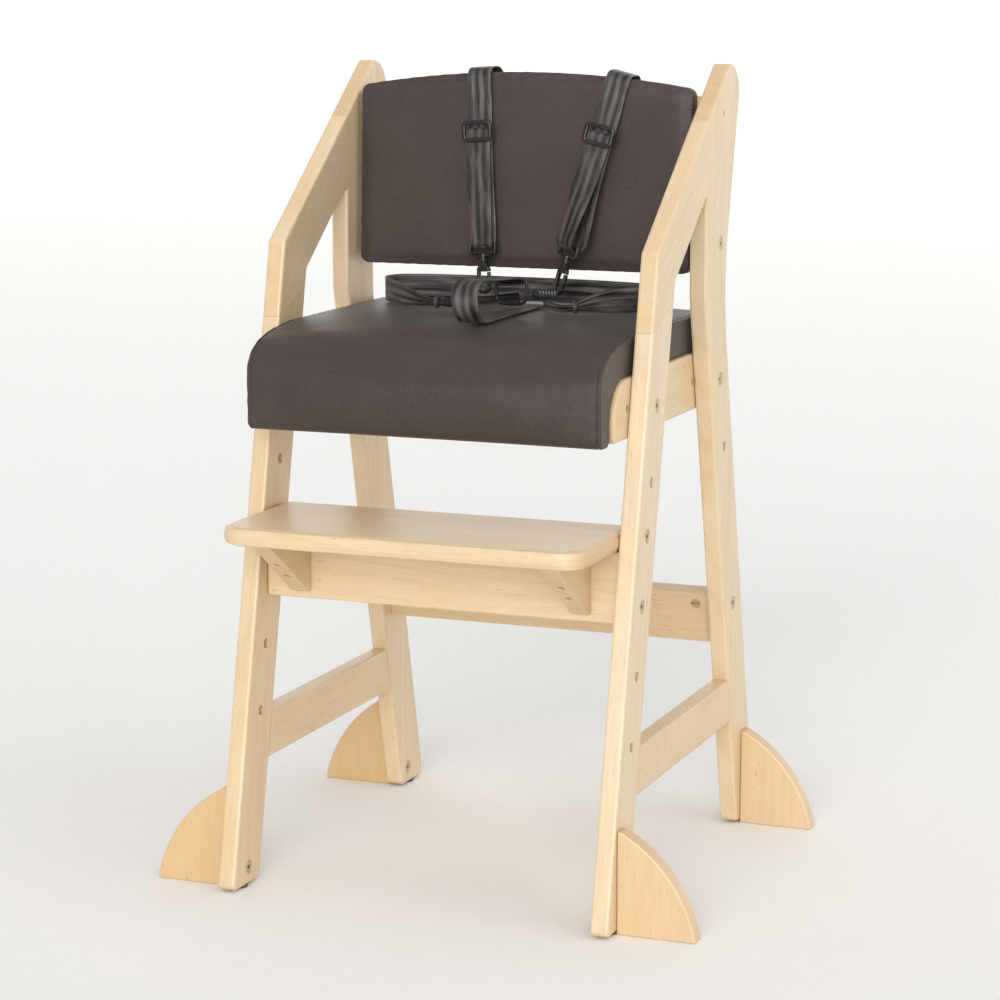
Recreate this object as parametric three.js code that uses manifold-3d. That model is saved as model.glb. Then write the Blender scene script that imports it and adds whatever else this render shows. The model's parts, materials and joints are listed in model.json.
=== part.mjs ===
// A wooden baby high chair with an upholstered seat, a footrest and a harness.
// Millimetres. X runs across the chair, Y from its front to its back, Z up from the floor.
// Left is -X and right is +X, as seen by someone who stands in front of the chair.
import * as THREE from 'three';
import { mergeVertices } from 'three/addons/utils/BufferGeometryUtils.js';
import Module from 'manifold-3d';

const wasm = await Module();
wasm.setup();

// ---- Sizes ---------------------------------------------------------------------------------

// overall
const height = 785; // floor to the top of the arms
const width = 398; // across the outer faces of the two side frames
const board = 18; // thickness of every frame board
const ease = 2.5; // radius of the eased edges
const gap = 0.3; // left between pieces that touch

// front leg and arm, in the plane of a side frame
const legWidth = 55; // across the grain
const toeFront = -228; // where the front edge meets the floor
const frontLean = 0.2123; // run per rise
const bendHeight = 618; // where the leg's front edge turns into the arm
const topLand = 39.8; // level stretch behind the top of the arm
const scarfHeight = 546; // the glued joint between leg and arm, on the front edge
const scarfAngle = 21; // degrees above level

// rear leg, in the same plane
const rearLegWidth = 58;
const rearUprightFront = 49; // front edge of the upright stretch
const kneeHeight = 560; // front edge turns here
const rearLean = 0.2296; // run per rise below the knee
const backTop = 157.5; // where the rear edge would meet the top
const kneeRearHeight = 569; // rear edge turns here
const topRadius = 28;
const kneeRadius = 240;

// side stretcher and rear crossbar
const stretcherBottom = 116.6;
const stretcherHeight = 46;
const crossbarCentre = 226.5; // height of its middle
const crossbarHeight = 54;

// bolts along the legs
const boltRadius = 3;
const headRadius = 6.8;
const headDepth = 4;
const headSink = 0.4; // heads sit this far below the face
const boltClearance = 0.3; // radial
const plugRadius = 5; // open holes of the positions that aren't in use
const footrestPitch = 63.7; // rise from one footrest bolt hole to the next
const footrestLowest = 168;
const seatBoltHeight = 478;
const seatPitch = 70; // drop to the lower seat position
const crossbarBoltAbove = 15; // from the middle of the crossbar to its bolts
const nutRadius = 5;
const nutLength = 15;

// seat
const railBelowBolt = 28; // from the seat bolts to the lower edge of a rail
const railHeight = 56;
const railFront = -166.5;
const railRear = 128;
const railNose = 38; // radius of the rail's upper front corner
const railHoleShift = -32; // spare hole, measured from the bolt
const seatBoardThickness = 9;
const seatBoardFront = -122;
const padClearance = 6; // from a side frame to either pad
const seatPadThickness = 38; // above the rails
const seatPadFront = -192;
const seatPadRear = 133;
const seatPadBelowRail = 3; // its front hangs this far below the rails
const seatPadNose = 46;

// backrest
const backLean = 2.2; // degrees
const backBottom = 582;
const backHeight = 194.5; // to the middle of the arched top edge
const backArch = 15; // fall of the top edge at its ends
const backBoltHeight = 612;
const backBoltBehind = 44; // from the front of the rear upright to the bolt
const backPadThickness = 16;
const backPadMargin = 7; // the pad stands this far past the board, above and below
const upperPilotHeight = 738;

// footrest
const footrestAboveBolt = 5.9; // from its bolts to the top of the board
const footrestDepth = 152;
const footrestBehindBolt = 20.6;
const footrestCorner = 25;
const footrestEase = 6;
const apronHeight = 68;
const bracketInset = 38; // from a side frame to the middle of its bracket
const bracketReach = 88;
const bracketDrop = 60;
const bracketHoleRadius = 3.5;

// anti-tip feet and glides
const footReach = 76;
const footHeight = 98;
const footArc = 140;
const frontFootShift = 0.9; // from the middle of the leg to the middle of the foot
const rearFootShift = -8.5;
const footBoltHeight = 19;
const glideRadius = 9;
const glideThickness = 2.5;

// harness
const webWidth = 25;
const web = 1.5; // thickness of the webbing
const strapX = 46; // left shoulder strap, where it crosses the top of the backrest
const rightStrapX = 100;
const leftSlant = 3.5; // degrees towards the middle of the chair
const rightSlant = 13.5;
const leftTilt = 1.5; // degrees forward from the backrest pad
const rightTilt = 5;
const leftTurn = 8; // degrees that the strap turns about its own length, below the slider
const rightTurn = 34;
const leftLoop = 4; // half the depth of the loop round the swivel eye
const rightLoop = 9;
const eyeDrop = 171; // from the top of the backrest to the crossbar of the swivel eye
const sliderDrop = 59;
const hookLength = 30;
const hookWidth = 15;
const hookThickness = 5;
const beltWidth = 24;
const beltInset = 39; // from the side of the seat pad to the middle of the belt's end turns
const ringWidth = 35; // of the ring that closes the waist belt
const ringHeight = 25;
const ringBar = 3.4;

// worked out from the sizes above
const outer = width / 2;
const inner = outer - board;
const innerFit = inner - gap;
const radians = THREE.MathUtils.degToRad;
const frontWidth = legWidth * Math.hypot(1, frontLean); // the leg's width, measured level
const rearWidth = rearLegWidth * Math.hypot(1, rearLean);
const frontEdge = (z) => toeFront + frontLean * z;
const frontMiddle = (z) => frontEdge(z) + frontWidth / 2;
const rearEdge = (z) => rearUprightFront + rearLean * (kneeHeight - z);
const rearMiddle = (z) => rearEdge(z) + rearWidth / 2;
const sides = [['left', -1], ['right', 1]];
const railBottom = seatBoltHeight - railBelowBolt;
const railTop = railBottom + railHeight;
const seatTop = railTop + seatPadThickness;
const padWidth = 2 * (inner - padClearance);
const crossbarBoltHeight = crossbarCentre + crossbarBoltAbove;
const frontFootY = frontMiddle(footBoltHeight) + frontFootShift;
const rearFootY = rearMiddle(footBoltHeight) + rearFootShift;

// ---- Materials -----------------------------------------------------------------------------

const paint = (name, color, roughness, metalness = 0) => {
  return new THREE.MeshStandardMaterial({ name, color, roughness, metalness });
};
const wood = () => paint('lacquered_wood', 0xe6cfa6, 0.45);
const plywood = () => paint('plywood', 0xcfae7c, 0.6);
const leather = () => paint('leatherette', 0x3a3230, 0.5);
const steel = () => paint('zinc_plated_steel', 0xb9b29a, 0.35, 1);
const felt = () => paint('felt', 0x2b2724, 0.95);
const webbing = () => paint('satin_webbing', 0x26221f, 0.4);
const moulded = () => paint('moulded_black_plastic', 0x1c1a1a, 0.35);

// ---- Building blocks -----------------------------------------------------------------------

const chair = new THREE.Group();

function add(name, geometry, material, parent = chair) {
  const mesh = new THREE.Mesh(geometry, material);
  mesh.name = name;
  parent.add(mesh);
  return mesh;
}

function solid(geometry) {
  const bare = geometry.clone();
  bare.deleteAttribute('normal');
  bare.deleteAttribute('uv');
  const merged = mergeVertices(bare, 1e-3);
  return new wasm.Manifold(new wasm.Mesh({
    numProp: 3,
    vertProperties: new Float32Array(merged.attributes.position.array),
    triVerts: new Uint32Array(merged.index.array),
  }));
}

function surface(manifold) {
  const mesh = manifold.getMesh();
  const geometry = new THREE.BufferGeometry();
  geometry.setAttribute('position', new THREE.BufferAttribute(mesh.vertProperties, 3));
  geometry.setIndex(new THREE.BufferAttribute(mesh.triVerts, 1));
  geometry.computeVertexNormals();
  return geometry;
}

function cut(geometry, ...tools) {
  return surface(tools.reduce((body, tool) => body.subtract(solid(tool)), solid(geometry)));
}

function join(geometry, ...others) {
  return surface(others.reduce((body, other) => body.add(solid(other)), solid(geometry)));
}

// A closed outline from corners [a, b, radius]; a corner with a radius becomes an arc.
function outline(corners) {
  const shape = new THREE.Shape();
  const count = corners.length;
  corners.forEach(([a, b, radius = 0], i) => {
    const here = new THREE.Vector2(a, b);
    const before = new THREE.Vector2(...corners[(i + count - 1) % count]).sub(here).normalize();
    const after = new THREE.Vector2(...corners[(i + 1) % count]).sub(here).normalize();
    const half = Math.acos(THREE.MathUtils.clamp(before.dot(after), -1, 1)) / 2;
    const start = here.clone().addScaledVector(before, radius / Math.tan(half));
    if (i === 0) shape.moveTo(start.x, start.y);
    else shape.lineTo(start.x, start.y);
    if (radius > 0) {
      const centre = here.clone().addScaledVector(before.clone().add(after).normalize(), radius / Math.sin(half));
      const end = here.clone().addScaledVector(after, radius / Math.tan(half));
      const clockwise = before.cross(after) > 0;
      const from = Math.atan2(start.y - centre.y, start.x - centre.x);
      const to = Math.atan2(end.y - centre.y, end.x - centre.x);
      shape.absarc(centre.x, centre.y, radius, from, to, clockwise);
    }
  });
  shape.closePath();
  return shape;
}

// Extrudes an outline to a thickness, with its arrises rounded to a radius.
function slab(shape, thickness, radius = 0, curveSegments = 8) {
  const geometry = new THREE.ExtrudeGeometry(shape, {
    depth: thickness - 2 * radius,
    bevelEnabled: radius > 0,
    bevelThickness: radius,
    bevelSize: radius,
    bevelOffset: -radius,
    bevelSegments: 2,
    curveSegments,
  });
  return geometry.translate(0, 0, radius - thickness / 2);
}

const X = new THREE.Vector3(1, 0, 0);
const Y = new THREE.Vector3(0, 1, 0);
const Z = new THREE.Vector3(0, 0, 1);
const faceAcross = new THREE.Matrix4().makeBasis(Y, Z, X); // outline in Y and Z, thickness along X
const faceFront = new THREE.Matrix4().makeBasis(X, Z, Y.clone().negate()); // outline in X and Z

function across(corners, x, thickness, radius = 0) {
  return slab(outline(corners), thickness, radius).applyMatrix4(faceAcross).translate(x, 0, 0);
}

function upright(corners, y, thickness, radius = 0) {
  return slab(outline(corners), thickness, radius).applyMatrix4(faceFront).translate(0, y, 0);
}

function flat(corners, z, thickness, radius = 0) {
  return slab(outline(corners), thickness, radius).translate(0, 0, z);
}

// A turned piece along +X, from a profile of [distance along the axis, radius].
function turned(profile, segments = 16) {
  const points = profile.map(([along, radius]) => new THREE.Vector2(radius, along));
  return new THREE.LatheGeometry(points, segments).rotateZ(-Math.PI / 2);
}

function drill(radius, from, to, y, z, segments = 14) {
  const rod = turned([[0, 0], [0, radius], [to - from, radius], [to - from, 0]], segments);
  return rod.translate(from, y, z);
}

// The space for a countersunk bolt whose head is flush with the face at `face`.
// `inward` is the direction of the bolt along X, and `reach` is its whole length.
function countersunk(radius, head, depth, reach, inward, face, y, z, over = 0) {
  const profile = [[-over, 0], [-over, head], [0, head], [depth, radius], [reach, radius], [reach, 0]];
  const piece = turned(over > 0 ? profile : profile.slice(0, 1).concat(profile.slice(2)), 16);
  if (inward < 0) piece.rotateZ(Math.PI);
  return piece.translate(face, y, z);
}

function boltHole(reach, inward, face, y, z) {
  const radius = boltRadius + boltClearance;
  const sunk = face + headSink * inward;
  return countersunk(radius, headRadius + boltClearance, headDepth, reach, inward, sunk, y, z, 1);
}

function bolt(reach, inward, face, y, z) {
  const sunk = face + headSink * inward;
  const body = countersunk(boltRadius, headRadius, headDepth, reach, inward, sunk, y, z);
  const socket = drill(2, -0.5, 2.5, 0, 0, 6);
  if (inward < 0) socket.rotateZ(Math.PI);
  return cut(body, socket.translate(sunk, y, z));
}

// ---- Side frames ---------------------------------------------------------------------------

const bendY = frontEdge(bendHeight);
const armTopY = backTop - topLand;
const armSlope = (height - bendHeight) / (armTopY - bendY);
const armUnder = (y) => bendHeight + (y - bendY) * armSlope - legWidth * Math.hypot(1, armSlope);
const legRear = (z) => frontEdge(z) + frontWidth;
const underCorner = (() => { // where the leg's rear edge meets the underside of the arm
  const z = (armUnder(0) + armSlope * (toeFront + frontWidth)) / (1 - armSlope * frontLean);
  return [legRear(z), z];
})();
const kneeRear = rearEdge(kneeRearHeight) + rearWidth;

const frameOutline = [
  [toeFront, glideThickness, 6],
  [bendY, bendHeight, 6],
  [armTopY, height, 4],
  [backTop, height, topRadius],
  [kneeRear, kneeRearHeight, kneeRadius],
  [rearEdge(glideThickness) + rearWidth, glideThickness, 8],
  [rearEdge(glideThickness), glideThickness, 8],
  [rearUprightFront, kneeHeight, 60],
  [rearUprightFront, armUnder(rearUprightFront), 3],
  [...underCorner, 8],
  [legRear(glideThickness), glideThickness, 8],
];

const scarf = (y) => scarfHeight + (y - frontEdge(scarfHeight)) * Math.tan(radians(scarfAngle));
const beyond = 500; // past the frame on every side
const legRegion = [[-beyond, -50], [20, -50], [20, scarf(20) - gap], [-beyond, scarf(-beyond) - gap]];
const armRegion = [
  [-beyond, scarf(-beyond)],
  [rearUprightFront - gap, scarf(rearUprightFront - gap)],
  [rearUprightFront - gap, 2 * beyond],
  [-beyond, 2 * beyond],
];
const rearRegion = [[rearUprightFront, -50], [beyond, -50], [beyond, 2 * beyond], [rearUprightFront, 2 * beyond]];

const footrestHeights = [0, 1, 2, 3].map((i) => footrestLowest + i * footrestPitch);
const [, , apronBoltHeight, boardBoltHeight] = footrestHeights;
const seatSpareHeight = seatBoltHeight - seatPitch;
const backBoltInset = board / 2; // from the bolt to the front of the board
const backBoltY = (z) => {
  return rearUprightFront + backBoltBehind + (z - backBoltHeight) * Math.tan(radians(backLean));
};

function frameHoles(side) {
  const face = side * outer;
  const through = board + 2;
  const open = (y, z) => drill(plugRadius, Math.min(face, face - side * board) - 1,
    Math.max(face, face - side * board) + 1, y, z);
  const bolted = (y, z) => boltHole(through, -side, face, y, z);
  return {
    leg: [
      bolted(frontMiddle(seatBoltHeight), seatBoltHeight),
      open(frontMiddle(seatSpareHeight), seatSpareHeight),
      bolted(frontMiddle(boardBoltHeight), boardBoltHeight),
      bolted(frontMiddle(apronBoltHeight), apronBoltHeight),
      open(frontMiddle(footrestHeights[1]), footrestHeights[1]),
      open(frontMiddle(footrestHeights[0]), footrestHeights[0]),
      boltHole(through, side, side * inner, frontFootY, footBoltHeight),
    ],
    rear: [
      bolted(backBoltY(backBoltHeight), backBoltHeight),
      drill(2.5, face - side * board / 2 - board / 2 - 1, face - side * board / 2 + board / 2 + 1,
        backBoltY(upperPilotHeight), upperPilotHeight, 10),
      bolted(rearMiddle(seatBoltHeight), seatBoltHeight),
      open(rearMiddle(seatSpareHeight), seatSpareHeight),
      bolted(rearMiddle(crossbarBoltHeight), crossbarBoltHeight),
      boltHole(through, side, side * inner, rearFootY, footBoltHeight),
    ],
  };
}

function region(corners) {
  return solid(across(corners, 0, 2 * width));
}

for (const [name, side] of sides) {
  const frame = solid(across(frameOutline, side * (outer - board / 2), board, ease));
  const holes = frameHoles(side);
  const piece = (corners) => surface(frame.intersect(region(corners)));
  add(`${name}_front_leg`, cut(piece(legRegion), ...holes.leg), wood());
  add(`${name}_arm`, piece(armRegion), wood());
  add(`${name}_rear_leg`, cut(piece(rearRegion), ...holes.rear), wood());
}

// ---- Stretchers and crossbar ---------------------------------------------------------------

const stretcherTop = stretcherBottom + stretcherHeight;
for (const [name, side] of sides) {
  const corners = [
    [legRear(stretcherBottom) + gap, stretcherBottom],
    [rearEdge(stretcherBottom) - gap, stretcherBottom],
    [rearEdge(stretcherTop) - gap, stretcherTop],
    [legRear(stretcherTop) + gap, stretcherTop],
  ];
  add(`${name}_side_stretcher`, across(corners, side * (outer - board / 2), board, ease), wood());
}

// The crossbar leans with the rear legs. Its own group has Z along the legs.
const legTilt = Math.atan(rearLean);
const crossbar = new THREE.Group();
crossbar.position.set(0, rearMiddle(crossbarCentre), crossbarCentre);
crossbar.rotation.x = legTilt;
chair.add(crossbar);
const crossbarBoltRise = (crossbarBoltHeight - crossbarCentre) / Math.cos(legTilt);
const nutX = inner - 19;
const boltReach = board + 26;
const crossbarBody = new THREE.BoxGeometry(2 * innerFit, board, crossbarHeight);
const crossbarCuts = sides.flatMap(([, side]) => {
  const bore = drill(nutRadius + 0.15, 0, nutLength + 1, 0, 0, 20).rotateZ(Math.PI / 2);
  const ends = [side * (outer - boltReach - 2), side * outer].sort((a, b) => a - b);
  return [
    bore.translate(side * nutX, -board / 2 - 1, crossbarBoltRise),
    drill(boltRadius + boltClearance, ...ends, 0, crossbarBoltRise),
  ];
});
add('rear_crossbar', cut(crossbarBody, ...crossbarCuts), wood(), crossbar);
for (const [name, side] of sides) {
  const body = drill(nutRadius, 0, nutLength - 0.5, 0, 0, 20).rotateZ(Math.PI / 2);
  const nutSink = 0.2;
  const thread = drill(boltRadius + 0.15, -2 * nutRadius, 2 * nutRadius, board / 2 - nutSink, 0);
  const slot = new THREE.BoxGeometry(3 * nutRadius, 3, 1.6);
  const nut = cut(body, thread, slot).translate(side * nutX, nutSink - board / 2, crossbarBoltRise);
  add(`${name}_barrel_nut`, nut, steel(), crossbar);
  const y = rearMiddle(crossbarBoltHeight);
  add(`${name}_crossbar_bolt`, bolt(boltReach, -side, side * outer, y, crossbarBoltHeight), steel());
}

// ---- Anti-tip feet and glides --------------------------------------------------------------

for (const [name, side] of sides) {
  for (const [end, y] of [['front', frontFootY], ['rear', rearFootY]]) {
    const foot = footBoard(side).translate(0, y, 0);
    const face = side * inner;
    const reach = board + 30;
    const away = drill(boltRadius + boltClearance, 0, reach, 0, 0).scale(side, side, 1);
    const bored = cut(foot, away.translate(face, y, footBoltHeight));
    add(`${end}_${name}_foot`, bored, wood());
    add(`${end}_${name}_foot_bolt`, bolt(reach - 2, side, face, y, footBoltHeight), steel());
    const middle = end === 'front' ? frontMiddle(0) : rearMiddle(0);
    const glide = new THREE.CylinderGeometry(glideRadius, glideRadius, glideThickness - 0.01, 20);
    glide.rotateX(Math.PI / 2).translate(side * (outer - board / 2), middle, glideThickness / 2 - 0.005);
    add(`${end}_${name}_glide`, glide, felt());
  }
}

// A quarter-round board against the outer face of a leg, its edge a shallow arc.
function footBoard(side) {
  const start = outer + gap;
  const low = new THREE.Vector2(start + footReach, 4);
  const high = new THREE.Vector2(start + 4, footHeight);
  const chord = high.clone().sub(low);
  const rise = Math.sqrt(footArc ** 2 - chord.lengthSq() / 4);
  const normal = new THREE.Vector2(-chord.y, chord.x).normalize();
  const centre = low.clone().add(high).multiplyScalar(0.5).addScaledVector(normal, rise);
  const shape = new THREE.Shape();
  shape.moveTo(start, 0);
  shape.lineTo(start + footReach, 0);
  shape.lineTo(low.x, low.y);
  shape.absarc(centre.x, centre.y, footArc, low.clone().sub(centre).angle(), high.clone().sub(centre).angle());
  shape.lineTo(start, footHeight);
  shape.closePath();
  const geometry = slab(shape, board, 1.5, 14).applyMatrix4(faceFront);
  return side > 0 ? geometry : geometry.rotateZ(Math.PI);
}

// ---- Seat ----------------------------------------------------------------------------------

const railX = innerFit - board / 2;
for (const [name, side] of sides) {
  const corners = [
    [railFront, railBottom, 5],
    [railRear, railBottom, 3],
    [railRear, railTop, 3],
    [railFront, railTop, railNose],
  ];
  const rail = across(corners, side * railX, board, 2);
  const bores = [frontMiddle(seatBoltHeight), rearMiddle(seatBoltHeight)].flatMap((y) => [
    drill(boltRadius + boltClearance, side * railX - board, side * railX + board, y, seatBoltHeight),
    drill(plugRadius - 1, side * railX - board, side * railX + board, y + railHoleShift, seatBoltHeight),
  ]);
  add(`${name}_seat_rail`, cut(rail, ...bores), wood());
  for (const [end, y] of [['front', frontMiddle(seatBoltHeight)], ['rear', rearMiddle(seatBoltHeight)]]) {
    const reach = 2 * board - 1;
    add(`${end}_${name}_seat_bolt`, bolt(reach, -side, side * outer, y, seatBoltHeight), steel());
  }
}

const seatBoardWidth = padWidth - 2 * 8;
const seatBoardRear = seatPadRear - 8;
const seatBoardMiddle = (seatBoardFront + seatBoardRear) / 2;
const seatBoard = new THREE.BoxGeometry(seatBoardWidth, seatBoardRear - seatBoardFront, seatBoardThickness);
seatBoard.translate(0, seatBoardMiddle, railTop + gap + seatBoardThickness / 2);
add('seat_board', seatBoard, plywood());

// The pad rests on the rails, covers the edges of the board and runs down in front of the rails.
const padRest = railTop + gap;
const seatPadDrop = railBottom - seatPadBelowRail;
const padOutline = [
  [seatPadFront, seatPadDrop, 10],
  [railFront - gap, seatPadDrop, 6],
  [railFront - gap, padRest, railNose + gap],
  [seatPadRear, padRest, 6],
  [seatPadRear, seatTop, 12],
  [seatPadFront, seatTop, seatPadNose],
];
const pocket = new THREE.BoxGeometry(
  seatBoardWidth + 2 * gap,
  seatBoardRear - seatBoardFront + 2 * gap,
  2 * (seatBoardThickness + 2 * gap),
);
pocket.translate(0, seatBoardMiddle, railTop);
add('seat_pad', cut(across(padOutline, 0, padWidth, 4), pocket), leather());

// ---- Backrest ------------------------------------------------------------------------------

// Its own group leans back; there the board's front face is y = 0 and the pad's lower edge z = 0.
const back = new THREE.Group();
const backFoot = backBoltY(backBottom) - backBoltInset;
back.position.set(0, backFoot, backBottom);
back.rotation.x = -radians(backLean);
chair.add(back);

function archedPanel(halfWidth, bottom, top, corner) {
  const steps = 10;
  const arch = (x) => top - backArch * (x / (padWidth / 2)) ** 2;
  const corners = [[-halfWidth, bottom, corner], [halfWidth, bottom, corner], [halfWidth, arch(halfWidth), corner]];
  for (let i = 1; i < steps; i += 1) {
    const x = halfWidth * (1 - (2 * i) / steps);
    corners.push([x, arch(x)]);
  }
  corners.push([-halfWidth, arch(halfWidth), corner]);
  return corners;
}

const backRise = (z) => {
  return (z - backBottom + backBoltInset * Math.sin(radians(backLean))) / Math.cos(radians(backLean));
};
const pilotRise = backRise(upperPilotHeight);
const boltRise = backRise(backBoltHeight);
const backBoard = upright(
  archedPanel(innerFit, backPadMargin, backHeight - backPadMargin, 12),
  board / 2,
  board,
  2,
);
const backBores = sides.flatMap(([, side]) => {
  const ends = [side * (inner - 40), side * outer].sort((a, b) => a - b);
  return [
    drill(boltRadius + boltClearance, ...ends, backBoltInset, boltRise),
    drill(2.5, ...ends, backBoltInset, pilotRise, 10),
  ];
});
add('backrest_board', cut(backBoard, ...backBores), plywood(), back);
const backPad = upright(
  archedPanel(padWidth / 2, 0, backHeight, 8),
  -gap - backPadThickness / 2,
  backPadThickness,
  4,
);
add('backrest_pad', backPad, leather(), back);
for (const [name, side] of sides) {
  const y = backBoltY(backBoltHeight);
  add(`${name}_backrest_bolt`, bolt(board + 36, -side, side * outer, y, backBoltHeight), steel());
}

// ---- Footrest ------------------------------------------------------------------------------

const boardBoltY = frontMiddle(boardBoltHeight);
const apronBoltY = frontMiddle(apronBoltHeight);
const footrestHeight = boardBoltHeight + footrestAboveBolt;
const footrestRear = boardBoltY + footrestBehindBolt;
const footrestFront = footrestRear - footrestDepth;
const apronFront = apronBoltY - board / 2;
const bracketX = inner - bracketInset;
const footrestCorners = [
  [-innerFit, footrestFront, footrestCorner],
  [innerFit, footrestFront, footrestCorner],
  [innerFit, footrestRear, 8],
  [-innerFit, footrestRear, 8],
];
const footrestBody = flat(footrestCorners, footrestHeight - board / 2, board, footrestEase);
const endBores = (y, z) => sides.map(([, side]) => {
  const ends = [side * (inner - 40), side * outer].sort((a, b) => a - b);
  return drill(boltRadius + boltClearance, ...ends, y, z);
});
add('footrest_board', cut(footrestBody, ...endBores(boardBoltY, boardBoltHeight)), wood());
const underFootrest = footrestHeight - board - gap;
const apronBody = upright(
  [
    [-innerFit, underFootrest - apronHeight],
    [innerFit, underFootrest - apronHeight],
    [innerFit, underFootrest],
    [-innerFit, underFootrest],
  ],
  apronFront + board / 2,
  board,
  2,
);
add('footrest_apron', cut(apronBody, ...endBores(apronBoltY, apronBoltHeight)), wood());
for (const [name, side] of sides) {
  const root = apronFront - gap;
  const corners = [
    [root, underFootrest],
    [root - bracketReach, underFootrest, 1],
    [root - bracketReach, underFootrest - 3, 1],
    [root - 5, underFootrest - bracketDrop, 1],
    [root, underFootrest - bracketDrop],
  ];
  const slope = Math.atan2(bracketDrop - 3, bracketReach - 5);
  const holes = [0.38, 0.62].map((share) => {
    const hole = drill(bracketHoleRadius, -14, 8, 0, 0);
    hole.rotateZ(Math.PI / 2).rotateX(Math.PI / 2 - slope);
    const y = root - bracketReach * (1 - share);
    const z = underFootrest - 3 - (bracketDrop - 3) * share;
    return hole.translate(side * bracketX, y, z);
  });
  add(`${name}_bracket`, cut(across(corners, side * bracketX, board, 0.8), ...holes), wood());
  const reach = board + 36;
  const face = side * outer;
  add(`${name}_footrest_bolt`, bolt(reach, -side, face, boardBoltY, boardBoltHeight), steel());
  add(`${name}_apron_bolt`, bolt(reach, -side, face, apronBoltY, apronBoltHeight), steel());
}

// ---- Harness -------------------------------------------------------------------------------

// The outline of a band of webbing: its centre line, offset half a thickness to each side.
function band(line, thickness) {
  const points = line.map(([a, b]) => new THREE.Vector2(a, b));
  const offset = (sign) => points.map((point, i) => {
    const before = points[Math.max(i - 1, 0)];
    const after = points[Math.min(i + 1, points.length - 1)];
    const along = after.clone().sub(before).normalize();
    return new THREE.Vector2(-along.y, along.x).multiplyScalar((sign * thickness) / 2).add(point);
  });
  return new THREE.Shape([...offset(1), ...offset(-1).reverse()]);
}

// Points on an arc about [a, b], from one angle to another, in degrees.
function arc(a, b, radius, from, to, steps) {
  return Array.from({ length: steps + 1 }, (_, i) => {
    const angle = radians(from + ((to - from) * i) / steps);
    return [a + radius * Math.cos(angle), b + radius * Math.sin(angle)];
  });
}

// Each shoulder strap has a group of its own, with Z up along the strap and its origin where the
// strap crosses the top of the backrest, level with the front of the backrest board.
const rearLayer = -backPadThickness - 6; // the layer that lies against the pad
const frontLayer = rearLayer - 8; // the layer that comes back up from the eye
const eyeY = (rearLayer + frontLayer) / 2;
const eyeRadius = (rearLayer - frontLayer) / 2;
const hangTop = -6; // the strap leaves the top of the pad here
const turnTop = -sliderDrop - 14; // the loop opens and turns from here down to the eye
const turnShare = (z) => THREE.MathUtils.smoothstep(-z, -turnTop, eyeDrop);

function strapLine(loop) {
  const stations = [0, 1, 2, 3, 4, 5].map((i) => turnTop - ((eyeDrop + turnTop) * i) / 6);
  const opening = (z) => eyeRadius + (loop - eyeRadius) * turnShare(z);
  return [
    [board + 2, -70],
    ...arc(board - 4, -2, 6, 0, 80, 4),
    ...arc(rearLayer + 10, hangTop, 10, 95, 180, 5),
    ...stations.map((z) => [eyeY + opening(z), z]),
    ...arc(eyeY, -eyeDrop + loop - eyeRadius, loop, 0, -180, 8),
    ...stations.map((z) => [eyeY - opening(z), z]).reverse(),
    [frontLayer, -sliderDrop + 4],
  ];
}

// Turns the part of a strap below its slider, and tilts all that hangs in front of the pad.
function hang(geometry, tilt, turn) {
  const place = geometry.attributes.position;
  const point = new THREE.Vector3();
  const axis = new THREE.Vector3(0, eyeY, 0);
  const pivot = new THREE.Vector3(0, rearLayer, hangTop);
  for (let i = 0; i < place.count; i += 1) {
    point.fromBufferAttribute(place, i);
    if (point.y < 0 && point.z <= hangTop) {
      point.sub(axis).applyAxisAngle(Z, turn * turnShare(point.z)).add(axis);
      point.sub(pivot).applyAxisAngle(X, -tilt).add(pivot);
    }
    place.setXYZ(i, point.x, point.y, point.z);
  }
  return geometry;
}

function shoulderHarness(name, x, slant, tilt, turn, loop) {
  const group = new THREE.Group();
  group.position.set(x, 0, backHeight + 0.5 - backArch * (x / (padWidth / 2)) ** 2);
  group.rotation.y = slant;
  back.add(group);

  const line = band(strapLine(loop), web);
  const strap = new THREE.ExtrudeGeometry(line, { depth: webWidth, bevelEnabled: false });
  strap.translate(0, 0, -webWidth / 2).applyMatrix4(faceAcross);
  add(`${name}_shoulder_strap`, hang(strap, tilt, turn), webbing(), group);

  const hanging = new THREE.Group(); // Z runs up along the tilted strap
  hanging.position.set(0, rearLayer, hangTop);
  hanging.rotation.x = -tilt;
  group.add(hanging);
  const slider = add(`${name}_slider`, sliderBody(), moulded(), hanging);
  slider.position.set(0, -rearLayer, -sliderDrop - hangTop);
  const eye = new THREE.Group();
  eye.position.set(0, eyeY - rearLayer, -eyeDrop - hangTop);
  eye.rotation.z = turn;
  hanging.add(eye);
  add(`${name}_swivel_eye`, eyeBody(), moulded(), eye);
  add(`${name}_snap_hook`, hookBody(), moulded(), eye);
  add(`${name}_hook_gate`, gateBody(), moulded(), eye);
}

// A tri-glide: two bars in front of the webbing and one between its layers, held by two cheeks.
function sliderBody() {
  const halfWidth = webWidth / 2 + 3;
  const depthFront = frontLayer - 4.6;
  const depthRear = eyeY + 1;
  const tall = 21;
  const cheek = (side) => new THREE.BoxGeometry(2.6, depthRear - depthFront, tall)
    .translate(side * (halfWidth - 1.3), (depthRear + depthFront) / 2, 0);
  const bar = (z, y, thick) => new THREE.BoxGeometry(2 * halfWidth, thick, 3).translate(0, y, z);
  return join(
    cheek(-1),
    cheek(1),
    bar(tall / 2 - 1.5, depthFront + 1.3, 2.6),
    bar(1.5 - tall / 2, depthFront + 1.3, 2.6),
    bar(0, depthRear - 1.25, 2.5),
  );
}

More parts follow.
